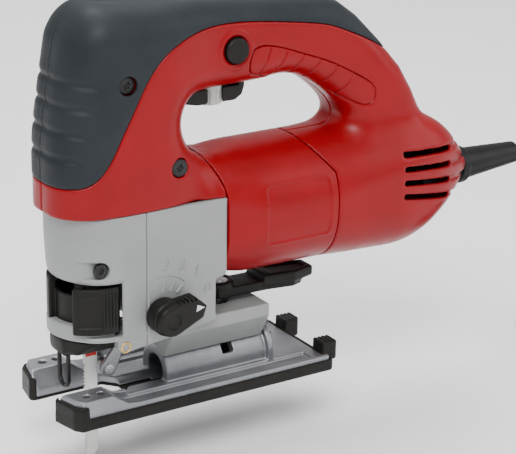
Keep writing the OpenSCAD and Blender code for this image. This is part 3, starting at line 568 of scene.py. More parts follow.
# Top, bottom, half width and edge radius of the motor's form, along X.
MOTOR_TOP = [
    (2, 124), (16, 128.5), (30, 130), (79, 130), (130, 130.6), (154, 129), (165, 122), (173, 114),
    (184, 102),
]
MOTOR_BOTTOM = [(14, 63), (30, 58), (128, 58), (140, 60.5), (151, 66), (163, 74), (173, 80.5), (184, 90)]
MOTOR_HALF = [
    (2, 26.5), (14, 28), (24, 31), (34, 34), (79, 34.6), (128, 33.5), (152, 29), (165, 23.5), (173, 18.5),
    (184, 10.5),
]
MOTOR_EDGE = [
    (2, 24), (14, 25), (34, 33.5), (79, 33.5), (92, 30), (128, 25), (152, 20), (173, 13), (184, 9),
]
# Side views of the middle motor housing, the soft grip and the handle's inlay.
MOTOR_REGION = soft([
    (14, 30), (79, 30), (79, 140), (-4, 140), (-4, 135), (4, 130.5), (10, 123), (14, 110),
], 1)
GRIP_REGION = soft([
    (-95, 125), (-70, 124.7), (-62.4, 127.7), (-56.8, 133), (-51.7, 140.9), (-47.2, 150), (-41.5, 160.3),
    (-34.2, 174.4), (-25.7, 185.9), (-14.6, 193), (-2, 197), (13.4, 198.4), (33.6, 197.3), (62.6, 193.5),
    (80, 190.5), (93, 185.2), (108, 178.4), (126, 168), (140, 182), (100, 225), (-95, 225),
])
PANEL = soft([
    (31.5, 181.5), (38, 184.5), (50, 182), (62, 177.5), (81.5, 170.5), (98, 161.5), (109.8, 154.5),
    (110.5, 147), (105, 142.5), (92, 148.5), (78, 156.5), (62.5, 162.5), (50, 165.5),
    (38.4, 167.6), (30.5, 170),
])
SHELL_WALL = 2.8
GRIP_DEPTH = 1.9
PANEL_DEPTH = 1.15
SEAM = 0.16


def body_form(g):
    """The whole moulded form: nose, handle and motor in one."""
    side = np.maximum(outline(g.x, g.z, SIDE), -outline(g.x, g.z, LOOP))
    lean = keyed(g.z, [(140, 0), (152, 1), (175, 4.6), (200, 9), (215, 14)], 6)
    lean = lean * np.clip((-20 - g.x) / 45, 0, 1)
    plan = outline_shifted(g, PLAN, lean)
    edge = keyed(g.x, [(-80, 19), (-40, 18), (0, 13), (60, 12.5), (130, 13), (150, 12)], 8)
    upper = rounded([side, plan], edge)
    top, bottom = keyed(g.x, MOTOR_TOP, 5), keyed(g.x, MOTOR_BOTTOM, 6)
    half, corner = keyed(g.x, MOTOR_HALF, 6), keyed(g.x, MOTOR_EDGE, 6)
    lower = rounded([np.abs(g.y) - half, span(g.z, bottom, top)], corner)
    lower = smax(lower, g.x - 184.3, 6)
    lower = smax(lower, 2 - g.x, 4)
    whole = smin(upper, lower, 9)
    over_case = np.maximum(g.x - 13.8, g.z - CASE_TOP - 0.15)
    return smax(whole, -over_case, 0.8)


def outline_shifted(g, points, lean):
    """The plan outline, shifted back by an amount that grows with height."""
    shifts = np.linspace(0, float(lean.max()) + 1e-3, 8)
    table = np.stack([outline(g.x - s, g.y, points)[:, :, 0] for s in shifts])
    place = np.broadcast_to(lean / (shifts[1] - shifts[0]), (g.shape[0], 1, g.shape[2]))
    lower = np.clip(place.astype(int), 0, 6)
    t = (place - lower).astype(np.float32)
    rows = np.arange(g.shape[0])[:, None, None]
    columns = np.arange(g.shape[1])[None, :, None]
    return table[lower, rows, columns] * (1 - t) + table[lower + 1, rows, columns] * t


# ---------------- shells, motor housing and grips

VENTS = 4


def vent_lines(g):
    """Height of each slot's middle line, sloping down to the rear."""
    ends = [(115.3 - 7.7 * i, 112.7 - 9.1 * i) for i in range(VENTS)]
    return [front + (back - front) * (g.x - 122.5) / 37.5 for front, back in ends]


def vent_cuts(g):
    """Cooling slots through the shell."""
    end = np.abs(g.x - 141.5) - 18.5
    return lowest(rounded([np.abs(g.z - line) - 1.6, end, 12 - np.abs(g.y)], 1.2) for line in vent_lines(g))


def vent_grooves(g, body):
    """Shallow grooves that run on from the slots to the rear end."""
    depth = -1.4 - body
    return lowest(rounded([np.abs(g.z - line) - 1.5, depth, 161 - g.x], 0.7) for line in vent_lines(g))


NOSE_X = -48.5


def case_plan(g, half):
    """Distance to the case's plan: straight sides that end in a round nose."""
    nose = np.sqrt((g.x - NOSE_X) ** 2 + g.y ** 2) - half
    return np.where(g.x < NOSE_X, nose, np.abs(g.y) - half + 0 * g.x)


# Openings over the gears and the shaft, as in the CAD shells.
SHELL_OPENINGS = (((-72, -24, 100), (-28, 24, 112.7)), ((-28, -22, 100), (8, 22, 112.7)))
CASE_OPENING_HALF = 24.2


def halves(side, name):
    return name + ("_left" if side < 0 else "_right")


def shell(side):
    """One half of the handle shell. side is -1 for the half with the lock button."""
    g = Grid((-81, -37, 56), (187, 0.9, 215), 0.9)
    body = body_form(g)
    grip = outline(g.x, g.z, GRIP_REGION)
    motor = outline(g.x, g.z, MOTOR_REGION)
    field = smax(body, -(body + SHELL_WALL), 0.4)
    for low, high in SHELL_OPENINGS:
        field = cut(field, np.maximum(box(g, low, high), case_plan(g, CASE_OPENING_HALF)), 0.3)
    field = cut(field, np.maximum(box(g, (5, -26, 111.5), (18, 26, 126.5)), body + 1.5), 0.3)
    bosses = np.minimum(*[rod(g, "y", -27, 27, 7.2, x, z) for x, z in SHELL_SCREWS])
    bosses = np.minimum(bosses, box(g, (166, -22, 78), (181, 22, 108)))
    field = smin(field, np.maximum(bosses, body + 1.2), 1)
    field = cut(field, rod(g, "z", 100, 173, 6.2, PLUNGER_X, 0), 0.3)
    field = cut(field, np.maximum(rod(g, "x", 75, 85, 31, 0, MOTOR_Z), body + 1.5), 0.3)
    # The collar round the lock button and the screws' holes.
    if side < 0:
        ring = np.sqrt((g.x - LOCK[0]) ** 2 + (g.z - LOCK[1]) ** 2)
        field = smin(field, np.maximum(np.abs(ring - 9.4) - 0.9, np.maximum(body - 0.55, -body - 2)), 1.2)
        field = cut(field, rounded([ring - 7.05, g.y + 8], 0.3), 0.5)
        for (x, z), radius in zip(SHELL_SCREWS, (6.2, 5.1)):
            field = cut(field, rod(g, "y", -60, -22.2, radius, x, z), 0.7)
    # The grip's and the inlay's recesses, the trigger's slot, the vents and the cord protector's hole.
    field = cut(field, np.maximum(grip - 0.15, -(body + GRIP_DEPTH + 0.06)), 0.25)
    panel = outline(g.x, g.z, PANEL)
    field = cut(field, np.maximum(panel - 0.2, np.maximum(-(body + PANEL_DEPTH), g.y + 11)), 0.4)
    field = cut(field, box(g, (-2.3, -7.6, 158), (36.3, 7.6, 171)), 0.8)
    field = cut(field, vent_cuts(g), 0.5)
    field = cut(field, vent_grooves(g, body), 0.5)
    field = bored(g, field, [(0.5, "x", 150, 200, 9.1, 0, CORD_Z), (0.5, "x", 182.4, 200, 11.2, 0, CORD_Z)])
    field = cut(field, motor - SEAM, 0.6)
    field = smax(field, g.y + SEAM / 2, 0.5)
    name = halves(side, "handle_shell")
    piece("v_" + name, g, field, "red_shell", name, flip=side > 0)


def vent_shade_sheet():
    """Painted shade: a black wall inside the rear shells stands for the shaded inside of the tool, so that
    the slots look dark and don't show the far side.
    """
    g = Grid((120, -3, 78), (168, 3, 122), 0.7)
    field = np.maximum(box(g, (123, -1, 80), (165, 1, 120), 0.4), body_form(g) + SHELL_WALL + 0.4)
    piece("v_vent_baffle", g, field, "black_plastic", body="housing")


def motor():
    """The motor barrel's housing, between the gearcase and the rear shells."""
    g = Grid((-6, -38, 54), (80, 38, 134), 0.75)
    body = body_form(g)
    field = smax(body, -(body + SHELL_WALL), 0.4)
    field = smax(field, outline(g.x, g.z, MOTOR_REGION) + SEAM, 0.7)
    field = smax(field, g.x - 78.9, 0.6)
    field = smax(field, np.where(g.z < CASE_TOP + 2, 13.85 - g.x, -9).astype(np.float32), 0.3)
    # A sunk blank plate on the left side, with a raised rim.
    plate = rounded([np.abs(g.x - 54.5) - 19.5, np.abs(g.z - 96) - 15.5, g.y], 3)
    rim = rounded([np.abs(g.x - 54.5) - 20.6, np.abs(g.z - 96) - 16.6, g.y], 3.6)
    field = smin(field, np.maximum(np.abs(rim + 0.5) - 0.55, np.maximum(body - 0.25, -body - 2)), 0.5)
    field = cut(field, np.maximum(plate, -(body + 0.55)), 0.35)
    piece("v_motor_housing", g, field, "red_shell", "motor_housing")


def grip(side):
    """Soft layer on the nose and along the top, with four grooves round the nose."""
    g = Grid((-82, -30, 122), (130, 0.6, 216), 0.62)
    body = body_form(g)
    zone = outline(g.x, g.z, GRIP_REGION)
    crown = 0.3 * smooth_step(-(zone + 0.2) / 1.6)
    skin = body - crown
    for height, end in ((178, -57), (166, -60), (153, -63), (140, -66)):
        line = height - (g.x + 78) * 0.10
        fade = 1 - smooth_step((g.x - end + 6) / 7)
        skin = skin + 1.15 * fade * np.exp(-((g.z - line) / 1.7) ** 2)
    field = smax(skin, -(body + GRIP_DEPTH), 0.25)
    field = smax(field, zone + 0.12, 0.35)
    for x, z in SHELL_SCREWS if side < 0 else ():
        field = cut(field, rod(g, "y", -60, 60, 4.9, x, z), 0.5)
    field = smax(field, g.y + SEAM / 2, 0.3)
    name = halves(side, "grip")
    piece("v_" + name, g, field, "soft_grip", name, flip=side > 0)


def grip_panel(side):
    """Inlay of the handle's side in seven slanting segments."""
    g = Grid((28, -22, 140), (113, -8, 187), 0.42)
    body = body_form(g)
    zone = outline(g.x, g.z, PANEL)
    field = np.maximum(body + 0.05, -(body + 1.05))
    field = smax(field, zone + 0.35, 0.5)
    for i in range(1, 7):
        top_x = 33.5 + i * 10.9
        slant = 0.25 + 0.085 * i
        lean = (g.x - top_x) + (186 - 0.0045 * (top_x - 30) ** 2 - g.z) * slant
        rib = np.abs(lean) / math.sqrt(1 + slant ** 2) - 0.42
        field = smax(field, -np.maximum(rib, -(body + 0.6)), 0.35)
    piece(halves(side, "v_grip_panel"), g, field, "red_shell", body="housing", flip=side > 0)


for hand in (-1, 1):
    shell(hand)
vent_shade_sheet()
motor()
for hand in (-1, 1):
    grip(hand)
    grip_panel(hand)

# ---------------- gearcase

SEAM_X = -34
HOUSING_FRONT = SEAM_X + SEAM / 2
COVER_BACK = SEAM_X - SEAM / 2
CASE_BACK = 13.6
BEVEL_SADDLE = [(-16, 28.5), (-11, 20), (11, 20), (16, 28.5), (19, 34), (19, 41), (-19, 41), (-19, 34)]


def from_plunger(g):
    return np.sqrt((g.x - PLUNGER_X) ** 2 + g.y ** 2)


def round_plunger(g):
    """Angle round the plunger's axis, in degrees from 0 to 360."""
    return np.degrees(np.arctan2(g.y, g.x - PLUNGER_X)) % 360


def case_lip(g, hand, points):
    """Slanted strip along the case's lower edge."""
    return prism(g, "y", *sorted((hand * 21.5, hand * 27)), points, 0.7)


def gear_housing():
    g = Grid((-59, -28.5, 19), (47, 28.5, 159), 0.62)
    side = outline(g.x, g.z, soft([
        (-80, 42), (3, 42), (7, 42), (7, 46), (7, 60), (7, 65), (12, 66),
        (CASE_BACK, 67.5), (CASE_BACK, 72), (CASE_BACK, 125), (-80, 125),
    ], 1))
    field = rounded([case_plan(g, CASE_HALF), np.maximum(side, HOUSING_FRONT - g.x), g.z - CASE_TOP], 0.7)
    # The saddle on the shoe, the side rails and the plunger's holder.
    field = smin(field, prism(g, "x", -15.5, 46, BEVEL_SADDLE, 1.2), 2.5)
    field = smin(field, box(g, (-15.5, -19, 38), (12, 19, 44), 1), 2)
    for hand in (-1, 1):
        height = np.abs(g.z - 41 - (g.x + 13) * 0.03) - 2.6
        rail = rounded([np.abs(g.y - hand * 21.8) - 3.6, np.abs(g.x + 13.5) - 20.5, height], 1.4)
        field = smin(field, rail, 1.5)
        field = np.minimum(field, box(g, (-58, hand * 15.5 - 2.5, 144.5), (-28, hand * 15.5 + 2.5, 157), 1))
    field = np.minimum(field, box(g, (-33.4, -20, 100), (-27, 20, 158), 1))
    for hand in (-1, 1):
        points = [(HOUSING_FRONT, 44), (HOUSING_FRONT, 36.6), (-12, 38.8), (6.8, 42), (6.8, 44)]
        field = smin(field, case_lip(g, hand, points), 0.8)
    # Room for the gears and the blade clamp.
    for low, high in (
        ((-40, -24, 45), (-33.4, 24, 110)), ((-26, -24, 56), (4, 24, 110)), ((-40, -12, 36),
        (-30, 12, 50)),
    ):
        field = cut(field, box(g, low, high), 0.4)
    # Holes for the motor, its shaft, the pins, the shoe's rocker, the knob and the clamp's screw.
    field = bored(g, field, [
        (0.4, "x", 3, 20, 23.5, 0, MOTOR_Z),
        (0.4, "x", -34, 4, 9.6, 0, MOTOR_Z),
        (0.2, "x", -40, -20, 4.1, 0, 119.2),
        (0.2, "y", -20, 20, 2.5, PLUNGER_X, 150),
        (0.4, "x", -20, 50, 13.95, 0, BEVEL_Z),
    ])
    field = cut(field, rod(g, "y", -40, 0, 9.8, *SELECTOR) + np.maximum(g.y + 27.0, 0) * 9, 0.5)
    at = (CLAMP_SCREW_X, 0)
    field = bored(g, field, [(0.3, "z", 10, 50, 3.2, *at), (0.3, "z", 34, 41, 6.3, *at)])
    piece("v_gear_housing", g, field, "grey_casting", "gear_housing")


def lever_space(g):
    """Room that the blade lever sweeps through."""
    radius = from_plunger(g)
    space = np.maximum(np.abs(g.z - 59) - 13.5, np.maximum(radius - 60, 12 - radius))
    return np.maximum(space, np.maximum(g.x + 48.4, g.y - 20))


def front_cover():
    g = Grid((-78, -29, 33), (-33.4, 29, 110), 0.5)
    depth = case_plan(g, CASE_HALF)
    lean = np.clip((100 - g.z) / 26, 0, 1) ** 2 * 1.6
    field = rounded([depth + lean * np.clip((-62 - g.x) / 12, 0, 1), np.abs(g.z - 75.35) - 33.35], 0.8)
    field = smax(field, g.x - SEAM_X + SEAM / 2, 0.5)
    inside = np.maximum(case_plan(g, CASE_HALF - 3), 44.5 - g.z)
    radius = from_plunger(g)
    shelf = np.maximum(np.abs(g.z - 75) - 2, 16 - radius)
    field = cut(field, cut(inside, shelf, 0.1), 0.4)
    field = cut(field, lever_space(g), 4)
    ring = rounded([radius - 22.4, np.abs(g.z - 46.2) - 4.2, 12.2 - radius], 1.1)
    ring = smax(ring, g.x + 50, 0.5)
    field = smin(field, ring, 0.8)
    for hand in (-1, 1):
        points = [(-50.6, 44), (-50.6, 37.4), (-47.8, 34.6), (COVER_BACK, 36.6), (COVER_BACK, 44)]
        field = smin(field, case_lip(g, hand, points), 0.8)
    field = cut(field, rod(g, "z", 38, 52, 12, PLUNGER_X, 0), 0.3)
    field = cut(field, box(g, (-53, -12, 38), (-30, 12, 52)), 0.3)
    # A boss and a sunk scoop at the screw on each side.
    screw_x, screw_z = COVER_SCREW
    for hand in (-1, 1):
        ring = np.sqrt((g.x - screw_x) ** 2 + (g.z - screw_z) ** 2) - 5
        boss = rounded([ring, np.abs(g.y - hand * 19) - 5], 0.5)
        field = np.minimum(field, np.maximum(boss, case_plan(g, CASE_HALF - 1)))
        stadium = rounded([np.abs(g.z - screw_z) - 4.3, np.abs(g.x - screw_x + 3.4) - 7.7], 4.2)
        backing = np.maximum(stadium - 2, np.maximum(depth + 0.6, -(depth + 6.5)))
        field = smin(field, np.maximum(backing, 13.5 - hand * g.y), 0.6)
        scoop_depth = 4.2 * np.clip((g.x + 70.5) / 13, 0, 1)
        scoop = np.maximum(stadium, np.maximum(-(depth + scoop_depth), -hand * g.y))
        field = cut(field, scoop, 0.8)
        field = cut(field, rod(g, "y", hand * 26 - 4, hand * 26 + 4, 4.3, *COVER_SCREW), 0.4)
    piece("v_front_cover", g, field, "grey_casting", "front_cover")


def nose_liner():
    """Dark parts seen in the lever's window: a liner round the clamp and a post beside the lever."""
    g = Grid((-77, -23, 45), (-46, 23, 73.4), 0.45)
    radius = from_plunger(g)
    liner = rounded([np.abs(radius - 17.6) - 0.9, np.abs(g.z - 55.7) - 9.9, g.x + 48.6], 0.4)
    angle = round_plunger(g)
    for middle, half in ((165, 9), (146, 5)):
        sector = (np.abs(angle - middle) - half) * 0.35
        post = rounded([np.abs(radius - 20.1) - 2.0, np.abs(g.z - 59.1) - 13.4, sector], 0.6)
        liner = np.minimum(liner, post)
    for hand in (-1, 1):
        low, high = sorted((hand * 10.5, hand * 22))
        liner = np.minimum(liner, box(g, (-48.1, low, 46), (-46.9, high, 72.6), 0.3))
    piece("v_nose_liner", g, liner, "black_plastic", body="housing")


def nose_guard():
    g = Grid((-75, -25, 29), (-39, 25, 42.8), 0.45)
    low = np.maximum(33.2, np.abs(g.y) + 19.6)
    field = rounded([case_plan(g, 24.6), np.maximum(g.z - 42.0, low - g.z), g.x + 40.2], 1.7)
    field = smin(field, box(g, (-72, -7.8, 31), (-62.5, 7.8, 40), 1.8), 3)
    field = cut(field, rod(g, "z", 0, 60, 9.4, PLUNGER_X - 1, 0), 0.8)
    field = cut(field, box(g, (-53, -9.4, 28), (-30, 9.4, 50)), 0.8)
    piece("v_nose_guard", g, field, "black_plastic", "nose_guard")


def arc_line(centre, radius, start, end, steps=16):
    return [
        (centre[0] + radius * math.cos(math.radians(a)), centre[1] + radius * math.sin(math.radians(a)))
        for a in np.linspace(start, end, steps)
    ]


def wire_guard():
    route = [(-68.5, -5, 39), (-68.5, -5, 30), (-68.5, -5.0, 22)]
    route += [(-68.5, y, z) for y, z in arc_line((0, 17), 5, 180, 360)]
    route += [(-68.5, 5, 22), (-68.5, 5, 30), (-68.5, 5, 39)]
    line = smooth_route(route, 3)
    place_piece(wires("v_wire_guard", "black_steel", [line], 1.2), "wire_guard", "housing")


def case_marks():
    """Raised digits 0 to 3 and the arc round the selector, on the case's left side."""
    y = -CASE_HALF
    size = 2.6

    def at(x, z, points):
        return [(x + size * (u + 0.18 * v), y, z + size * v) for u, v in points]

    three = arc_line((0, 0.5), 0.5, 150, -80, 9) + arc_line((0, -0.5), 0.55, 80, -150, 9)
    two = arc_line((0, 0.45), 0.55, 160, -30, 8) + [(-0.6, -1), (0.6, -1)]
    one = [(-0.3, 0.6), (0.1, 1), (0.1, -1)]
    zero = [(0.62 * math.cos(a), math.sin(a)) for a in np.linspace(0, 2 * math.pi, 17)]
    lines = [at(-22.7, 78.8, three), at(-12.9, 77.3, two), at(-4.9, 72.4, one), at(2.0, 61.7, zero)]
    lines.append([(x, y, z) for x, z in [(-33, 44), (-33, 66)] + arc_line(SELECTOR, 20.8, 112, 48, 14)])
    place_piece(wires("v_case_marks", "grey_casting", lines, 0.5), body="housing")
    ticks = []
    for angle, near, far in ((84, 11.5, 18.2), (66, 12.5, 18.4), (47, 13.5, 18.4)):
        c, s = math.cos(math.radians(angle)), math.sin(math.radians(angle))
        reach = np.linspace(near, far, 4)
        ticks.append([(SELECTOR[0] + r * c, y + 0.25, SELECTOR[1] + r * s) for r in reach])
    place_piece(wires("v_case_ticks", "grey_casting", ticks, 1.05), body="housing")


# ---------------- lever, knob, trigger and small parts


def blade_lever():
    g = Grid((-80.5, -27.5, 45), (-38, -7, 73), 0.4)
    radius = from_plunger(g)
    angle = round_plunger(g)
    sector = (np.abs(angle - 250.5) - 28.5) * 0.43
    field = rounded([np.abs(radius - 24.15) - 1.25, np.abs(g.z - 59) - 12.5, sector], 0.9)
    panel = rounded([np.abs(angle - 242.5) * 0.43 - 6.2, np.abs(g.z - 59.5) - 9, 24.75 - radius], 0.6)
    field = cut(field, panel, 0.4)
    for i in range(5):
        across = np.abs(angle - 259 - 4 * i) * 0.45 - 0.62
        rib = rounded([across, np.abs(g.z - 60.1) - 9.9, np.abs(radius - 25) - 1.3], 0.55)
        field = smin(field, rib, 0.4)
    ring = rounded([np.abs(radius - 12.1) - 1.9, np.abs(g.z - 69) - 2.5], 0.6)
    turn = math.radians(250)
    along = (g.x - PLUNGER_X) * math.cos(turn) + g.y * math.sin(turn)
    across = -(g.x - PLUNGER_X) * math.sin(turn) + g.y * math.cos(turn)
    spoke = rounded([np.abs(along - 17.7) - 5.7, np.abs(across) - 3, np.abs(g.z - 69) - 2.5], 0.5)
    field = np.minimum(field, smin(spoke, ring, 0.5))
    piece("v_blade_lever", g, field, "black_plastic", "blade_lever")


def selector_knob():
    g = Grid((-37, -42, 41.5), (-4, -26.5, 65), 0.36)
    field = rod(g, "y", -36, -27.4, 9.4, *SELECTOR, r=0.8)
    wedge = arc_line(SELECTOR, 8.6, 100, 300, 11) + [(-8, 51.5), (-6, 57.5), (-12, 63)]
    field = smin(field, prism(g, "y", -40.5, -30, wedge, 1.8), 0.8)
    field = bored(g, field, [(0.3, "y", -42, -34, 0.62, -22 + i * 2.3, 61.4 + 0.12 * i) for i in range(6)])
    field = bored(g, field, [(0.6, "y", -42, -39.5, 4.2, *SELECTOR), (0.15, "y", -38, -20, 4, *SELECTOR)])
    piece("v_selector_knob", g, field, "black_plastic", "selector_knob")


def selector_mark():
    g = Grid((-14, -41.2, 54.5), (-6.5, -39.6, 60), 0.16)
    field = prism(g, "y", -40.85, -40.0, [(-13, 55.6), (-8.0, 57.4), (-12.4, 59.4)], 0.15)
    piece("v_selector_mark", g, field, "pale_mark", body=BODY_OF["selector_knob"])


def trigger():
    g = Grid((-4, -8.5, 150), (38, 8.5, 170), 0.5)
    field = prism(g, "y", -7, 7, [
        (-2, 158.8), (1, 154.6), (8, 153.2), (30, 153.2), (34.5, 156), (36, 160.5), (36, 168), (-2, 168),
    ], 1.5)
    field = bored(g, field, [(0.4, "y", -9, 9, 0.5, 24.5 + i * 1.8, 153.0) for i in range(5)])
    field = bored(g, field, [
        (0.1, "y", -10, 10, 1.66, 0.5, 164.5),
        (0.4, "z", 150, 164.4, 7.8, DIAL_X, 0),
        (0.1, "z", 160, 166.5, 1.66, DIAL_X, 0),
    ])
    field = cut(field, box(g, (5, -8, 161.5), (32, 8, 164.4)), 0.2)
    piece("v_trigger", g, field, "dark_plastic", "trigger")


def speed_dial():
    g = Grid((9, -9, 151.6), (26.5, 9, 167), 0.32)
    field = rod(g, "z", 152.4, 163.6, 7.2, DIAL_X, 0, r=0.7)
    flutes = arc_line((DIAL_X, 0), 7.5, 0, 330, 12)
    field = bored(g, field, [(0.35, "z", 150, 160.5, 1, *at) for at in flutes])
    field = np.minimum(field, rod(g, "z", 163, 166.2, 1.6, DIAL_X, 0))
    piece("v_speed_dial", g, field, "silver_plastic", "speed_dial")


def lock_button():
    g = Grid((14, -24, 175), (30.5, -8.5, 192), 0.33)
    ring = np.sqrt((g.x - LOCK[0]) ** 2 + (g.z - LOCK[1]) ** 2)
    field = rounded([ring - 6.75, np.abs(g.y + 19.2) - 3.2 + 0 * g.x], 1.3)
    dome = np.sqrt((g.y + 22.4 - 15.5) ** 2 + ring ** 2) - 16.9
    field = np.minimum(field, np.maximum(rod(g, "y", -22.4, -18, 6.0, *LOCK), dome))
    field = np.minimum(field, rod(g, "y", -16.5, -9.5, 4, *LOCK, r=0.4))
    piece("v_lock_button", g, field, "black_plastic", "lock_button")


def bevel_lever():
    g = Grid((12, -15, 43), (83, 12, 55), 0.5)
    at = (CLAMP_SCREW_X, 0)
    points = [(20, -8.6), (50, -9.5), (66, -12), (72, -10), (72, 4), (50, 8), (24, 9)]
    low = prism(g, "z", 44.3, 50, points, 1.2)
    tip = prism(g, "z", 47, 53.5, [(48, -10), (66, -13), (80, -9), (80, 2), (66, 5), (48, 8)], 1.6)
    dish = prism(g, "z", 52.3, 56, [(54, -8), (66, -10), (76, -7), (76, 0), (66, 2.5), (54, 5)], 1)
    field = smin(smin(rod(g, "z", 44.3, 53, 9, *at, r=1.0), low, 1.2), tip, 1.6)
    field = cut(field, dish, 0.6)
    field = bored(g, field, [(0.1, "z", 40, 60, 3, *at), (0.3, "z", 49, 60, 5.8, *at)])
    piece("v_bevel_lever", g, field, "black_plastic", "bevel_lever")


def plan_field(g, grow, floor, roof, r):
    """The sole's outline seen from above, with the blade slot, between two heights."""
    half, inner = 32.2 + grow, 13
    front, back = -76.7 - grow, 77.5 + grow
    points = [
        (back, -half + 2), (back, half - 2), (back - 2, half), (front + 3, half), (front, half - 4),
        (front - 3, inner + 2), (front - 1, inner), (-40, inner), (-34, 6), (-34, -6), (-40, -inner),
        (front - 1, -inner), (front - 3, -inner - 2), (front, -half + 4), (front + 3, -half),
        (back - 2, -half),
    ]
    return prism(g, "z", floor, roof, points, r)


def shoe_base():
    g = Grid((-84, -35, 1), (80, 35, 27), 0.75)
    field = plan_field(g, 0, SOLE_TOP, 6.2, 0.6)
    for hand in (-1, 1):
        rail = box(g, (-60, hand * 30.7 - 1.5, SOLE_TOP), (77, hand * 30.7 + 1.5, 8.6), 0.8)
        field = smin(field, rail, 0.8)
    nose = [(-90, 2), (-90, 14.4), (-74, 15.6), (-57, 15.6), (-48, 9.6), (-40, 8.6), (-40, 2)]
    raised = prism(g, "y", -40, 40, nose, 0.8)
    field = smin(field, smax(raised, plan_field(g, 0, SOLE_TOP, 20, 0.8), 0.9), 0.8)
    rocker = np.maximum(rod(g, "x", -14.5, 47.5, 13.5, 0, BEVEL_Z), SOLE_TOP - g.z)
    end = np.maximum(rod(g, "x", 47.5, 51, 16.5, 0, BEVEL_Z, r=0.6), SOLE_TOP - g.z)
    field = smin(smin(field, rocker, 1.2), end, 0.8)
    field = bored(g, field, [(0.35, "z", 0, 20, 2.2, *at) for at in SHOE_HOLES])
    for hand in (-1, 1):
        points = [(hand * 10, 7), (hand * 13, 7), (hand * 18, 16), (hand * 10, 16)]
        field = cut(field, prism(g, "x", -90, -45, points), 0.4)
    field = cut(field, rod(g, "x", -40, 44, 8, 0, BEVEL_Z), 0.4)
    wedge = prism(g, "x", 20.6, 27.4, [(0, BEVEL_Z), (48, 28.5), (0, 69.5), (-48, 28.5)])
    field = cut(field, np.maximum(wedge, 7 - np.sqrt(g.y ** 2 + (g.z - BEVEL_Z) ** 2)), 0.2)
    field = cut(field, box(g, (-44, 16, 4), (70.5, 25.2, 30), 0.8), 0.5)
    field = cut(field, box(g, (-52, -25.2, 4), (70.5, -16, 30), 0.8), 0.5)
    piece("v_shoe_base", g, field, "shoe_casting", "shoe_base")


def shoe_cover():
    g = Grid((-86, -37, -0.8), (90, 37, 14), 0.75)
    field = plan_field(g, 1.8, 0, 6.4, 0.9)
    caps = smax(plan_field(g, 1.8, 0, 13, 1.2), g.x + 71, 0.8)
    field = smin(field, caps, 0.5)
    field = cut(field, plan_field(g, 0.06, SOLE_TOP, 20, 0.2), 0.15)
    field = bored(g, field, [(0.35, "z", -2, 20, 2.2, *at) for at in SHOE_HOLES])
    for hand in (-1, 1):
        tab = box(g, (77.8, hand * 19 - 5, 1), (87.5, hand * 19 + 5, 12.5), 1.0)
        for i in range(3):
            groove = box(g, (80 + i * 2.4, hand * 19 - 6, 11.4), (81 + i * 2.4, hand * 19 + 6, 13))
            tab = cut(tab, groove, 0.25)
        field = np.minimum(field, tab)
    piece("v_shoe_cover", g, field, "black_plastic", "shoe_cover")


def roller_fork():
    g = Grid((-52, -7.6, 12.5), (-33, 7.6, 47), 0.4)
    arm = arc_line(ROLLER_AXLE, 4.7, 130, 330, 9) + [(-36, 30), (-35, 42)]
    arm += arc_line(FORK_PIVOT, 3.6, 20, 180, 6) + [(-42.6, 30)]
    field = np.minimum(prism(g, "y", -6.6, -4, arm, 0.4), prism(g, "y", 4, 6.6, arm, 0.4))
    field = smin(field, box(g, (-41, -5.3, 28), (-36.6, 5.3, 34), 0.5), 0.6)
    pins = ((1.5, ROLLER_AXLE), (1.86, FORK_PIVOT))
    field = bored(g, field, [(0.1, "y", -10, 10, radius, *at) for radius, at in pins])
    piece("v_roller_fork", g, field, "shoe_casting", "roller_fork")


def blade():
    """White blade with teeth on its front edge; the two red bands below the clamp are made apart."""
    back, front = BLADE_BACK, BLADE_BACK - BLADE_WIDTH
    points = [
        (back, FLOOR + 6), (back, 46), (back - 1, 47.5), (back - 1, BLADE_TOP - 1), (back - 2, BLADE_TOP),
        (front + 2, BLADE_TOP), (front + 1, BLADE_TOP - 1), (front + 1, 47.5), (front, 46),
    ]
    for i in range(25, -1, -1):
        points += [(front + 0.1, FLOOR + 5 + 2 * (i + 1)), (front + 1.2, FLOOR + 5.4 + 2 * i)]
    points += [(front + 1, FLOOR + 2), (front + 2.4, FLOOR)]
    g = Grid((front - 0.8, -1.1, FLOOR - 0.6), (back + 0.8, 1.1, BLADE_TOP + 0.6), 0.26)
    piece("v_blade", g, prism(g, "y", -0.6, 0.6, points, 0.12), "blade_white", "blade")


def blade_bands():
    g = Grid((-57.2, -1.3, 24.4), (-49.0, 1.3, 32.4), 0.15)
    bands = [box(g, (-56.2, -0.8, low), (-50.0, 0.8, high)) for low, high in ((25.2, 27.4), (28.6, 31.6))]
    piece("v_blade_bands", g, lowest(bands), "blade_red", body=BODY_OF["blade"])


def protector():
    g = Grid((164, -12.5, 79), (229, 12.5, 105), 0.5)
    field = rod(g, "x", 166, 186, 9, 0, CORD_Z, r=0.5)
    field = np.minimum(field, rod(g, "x", 182.5, 188, 10.8, 0, CORD_Z, r=1.3))
    lean = math.radians(1.7)
    along = (g.x - 187.5) * math.cos(lean) + (g.z - CORD_Z) * math.sin(lean)
    drop = (g.z - CORD_Z) - (g.x - 187.5) * math.tan(lean)
    wide = 9.2 - 2.9 * np.clip(along / 39.5, 0, 1)
    cone = np.maximum(np.sqrt(drop ** 2 + g.y ** 2) - wide, np.maximum(-along, along - 39.5))
    field = smin(field, cone, 0.6)
    piece("v_cord_protector", g, field, "cord_rubber", "cord_protector")


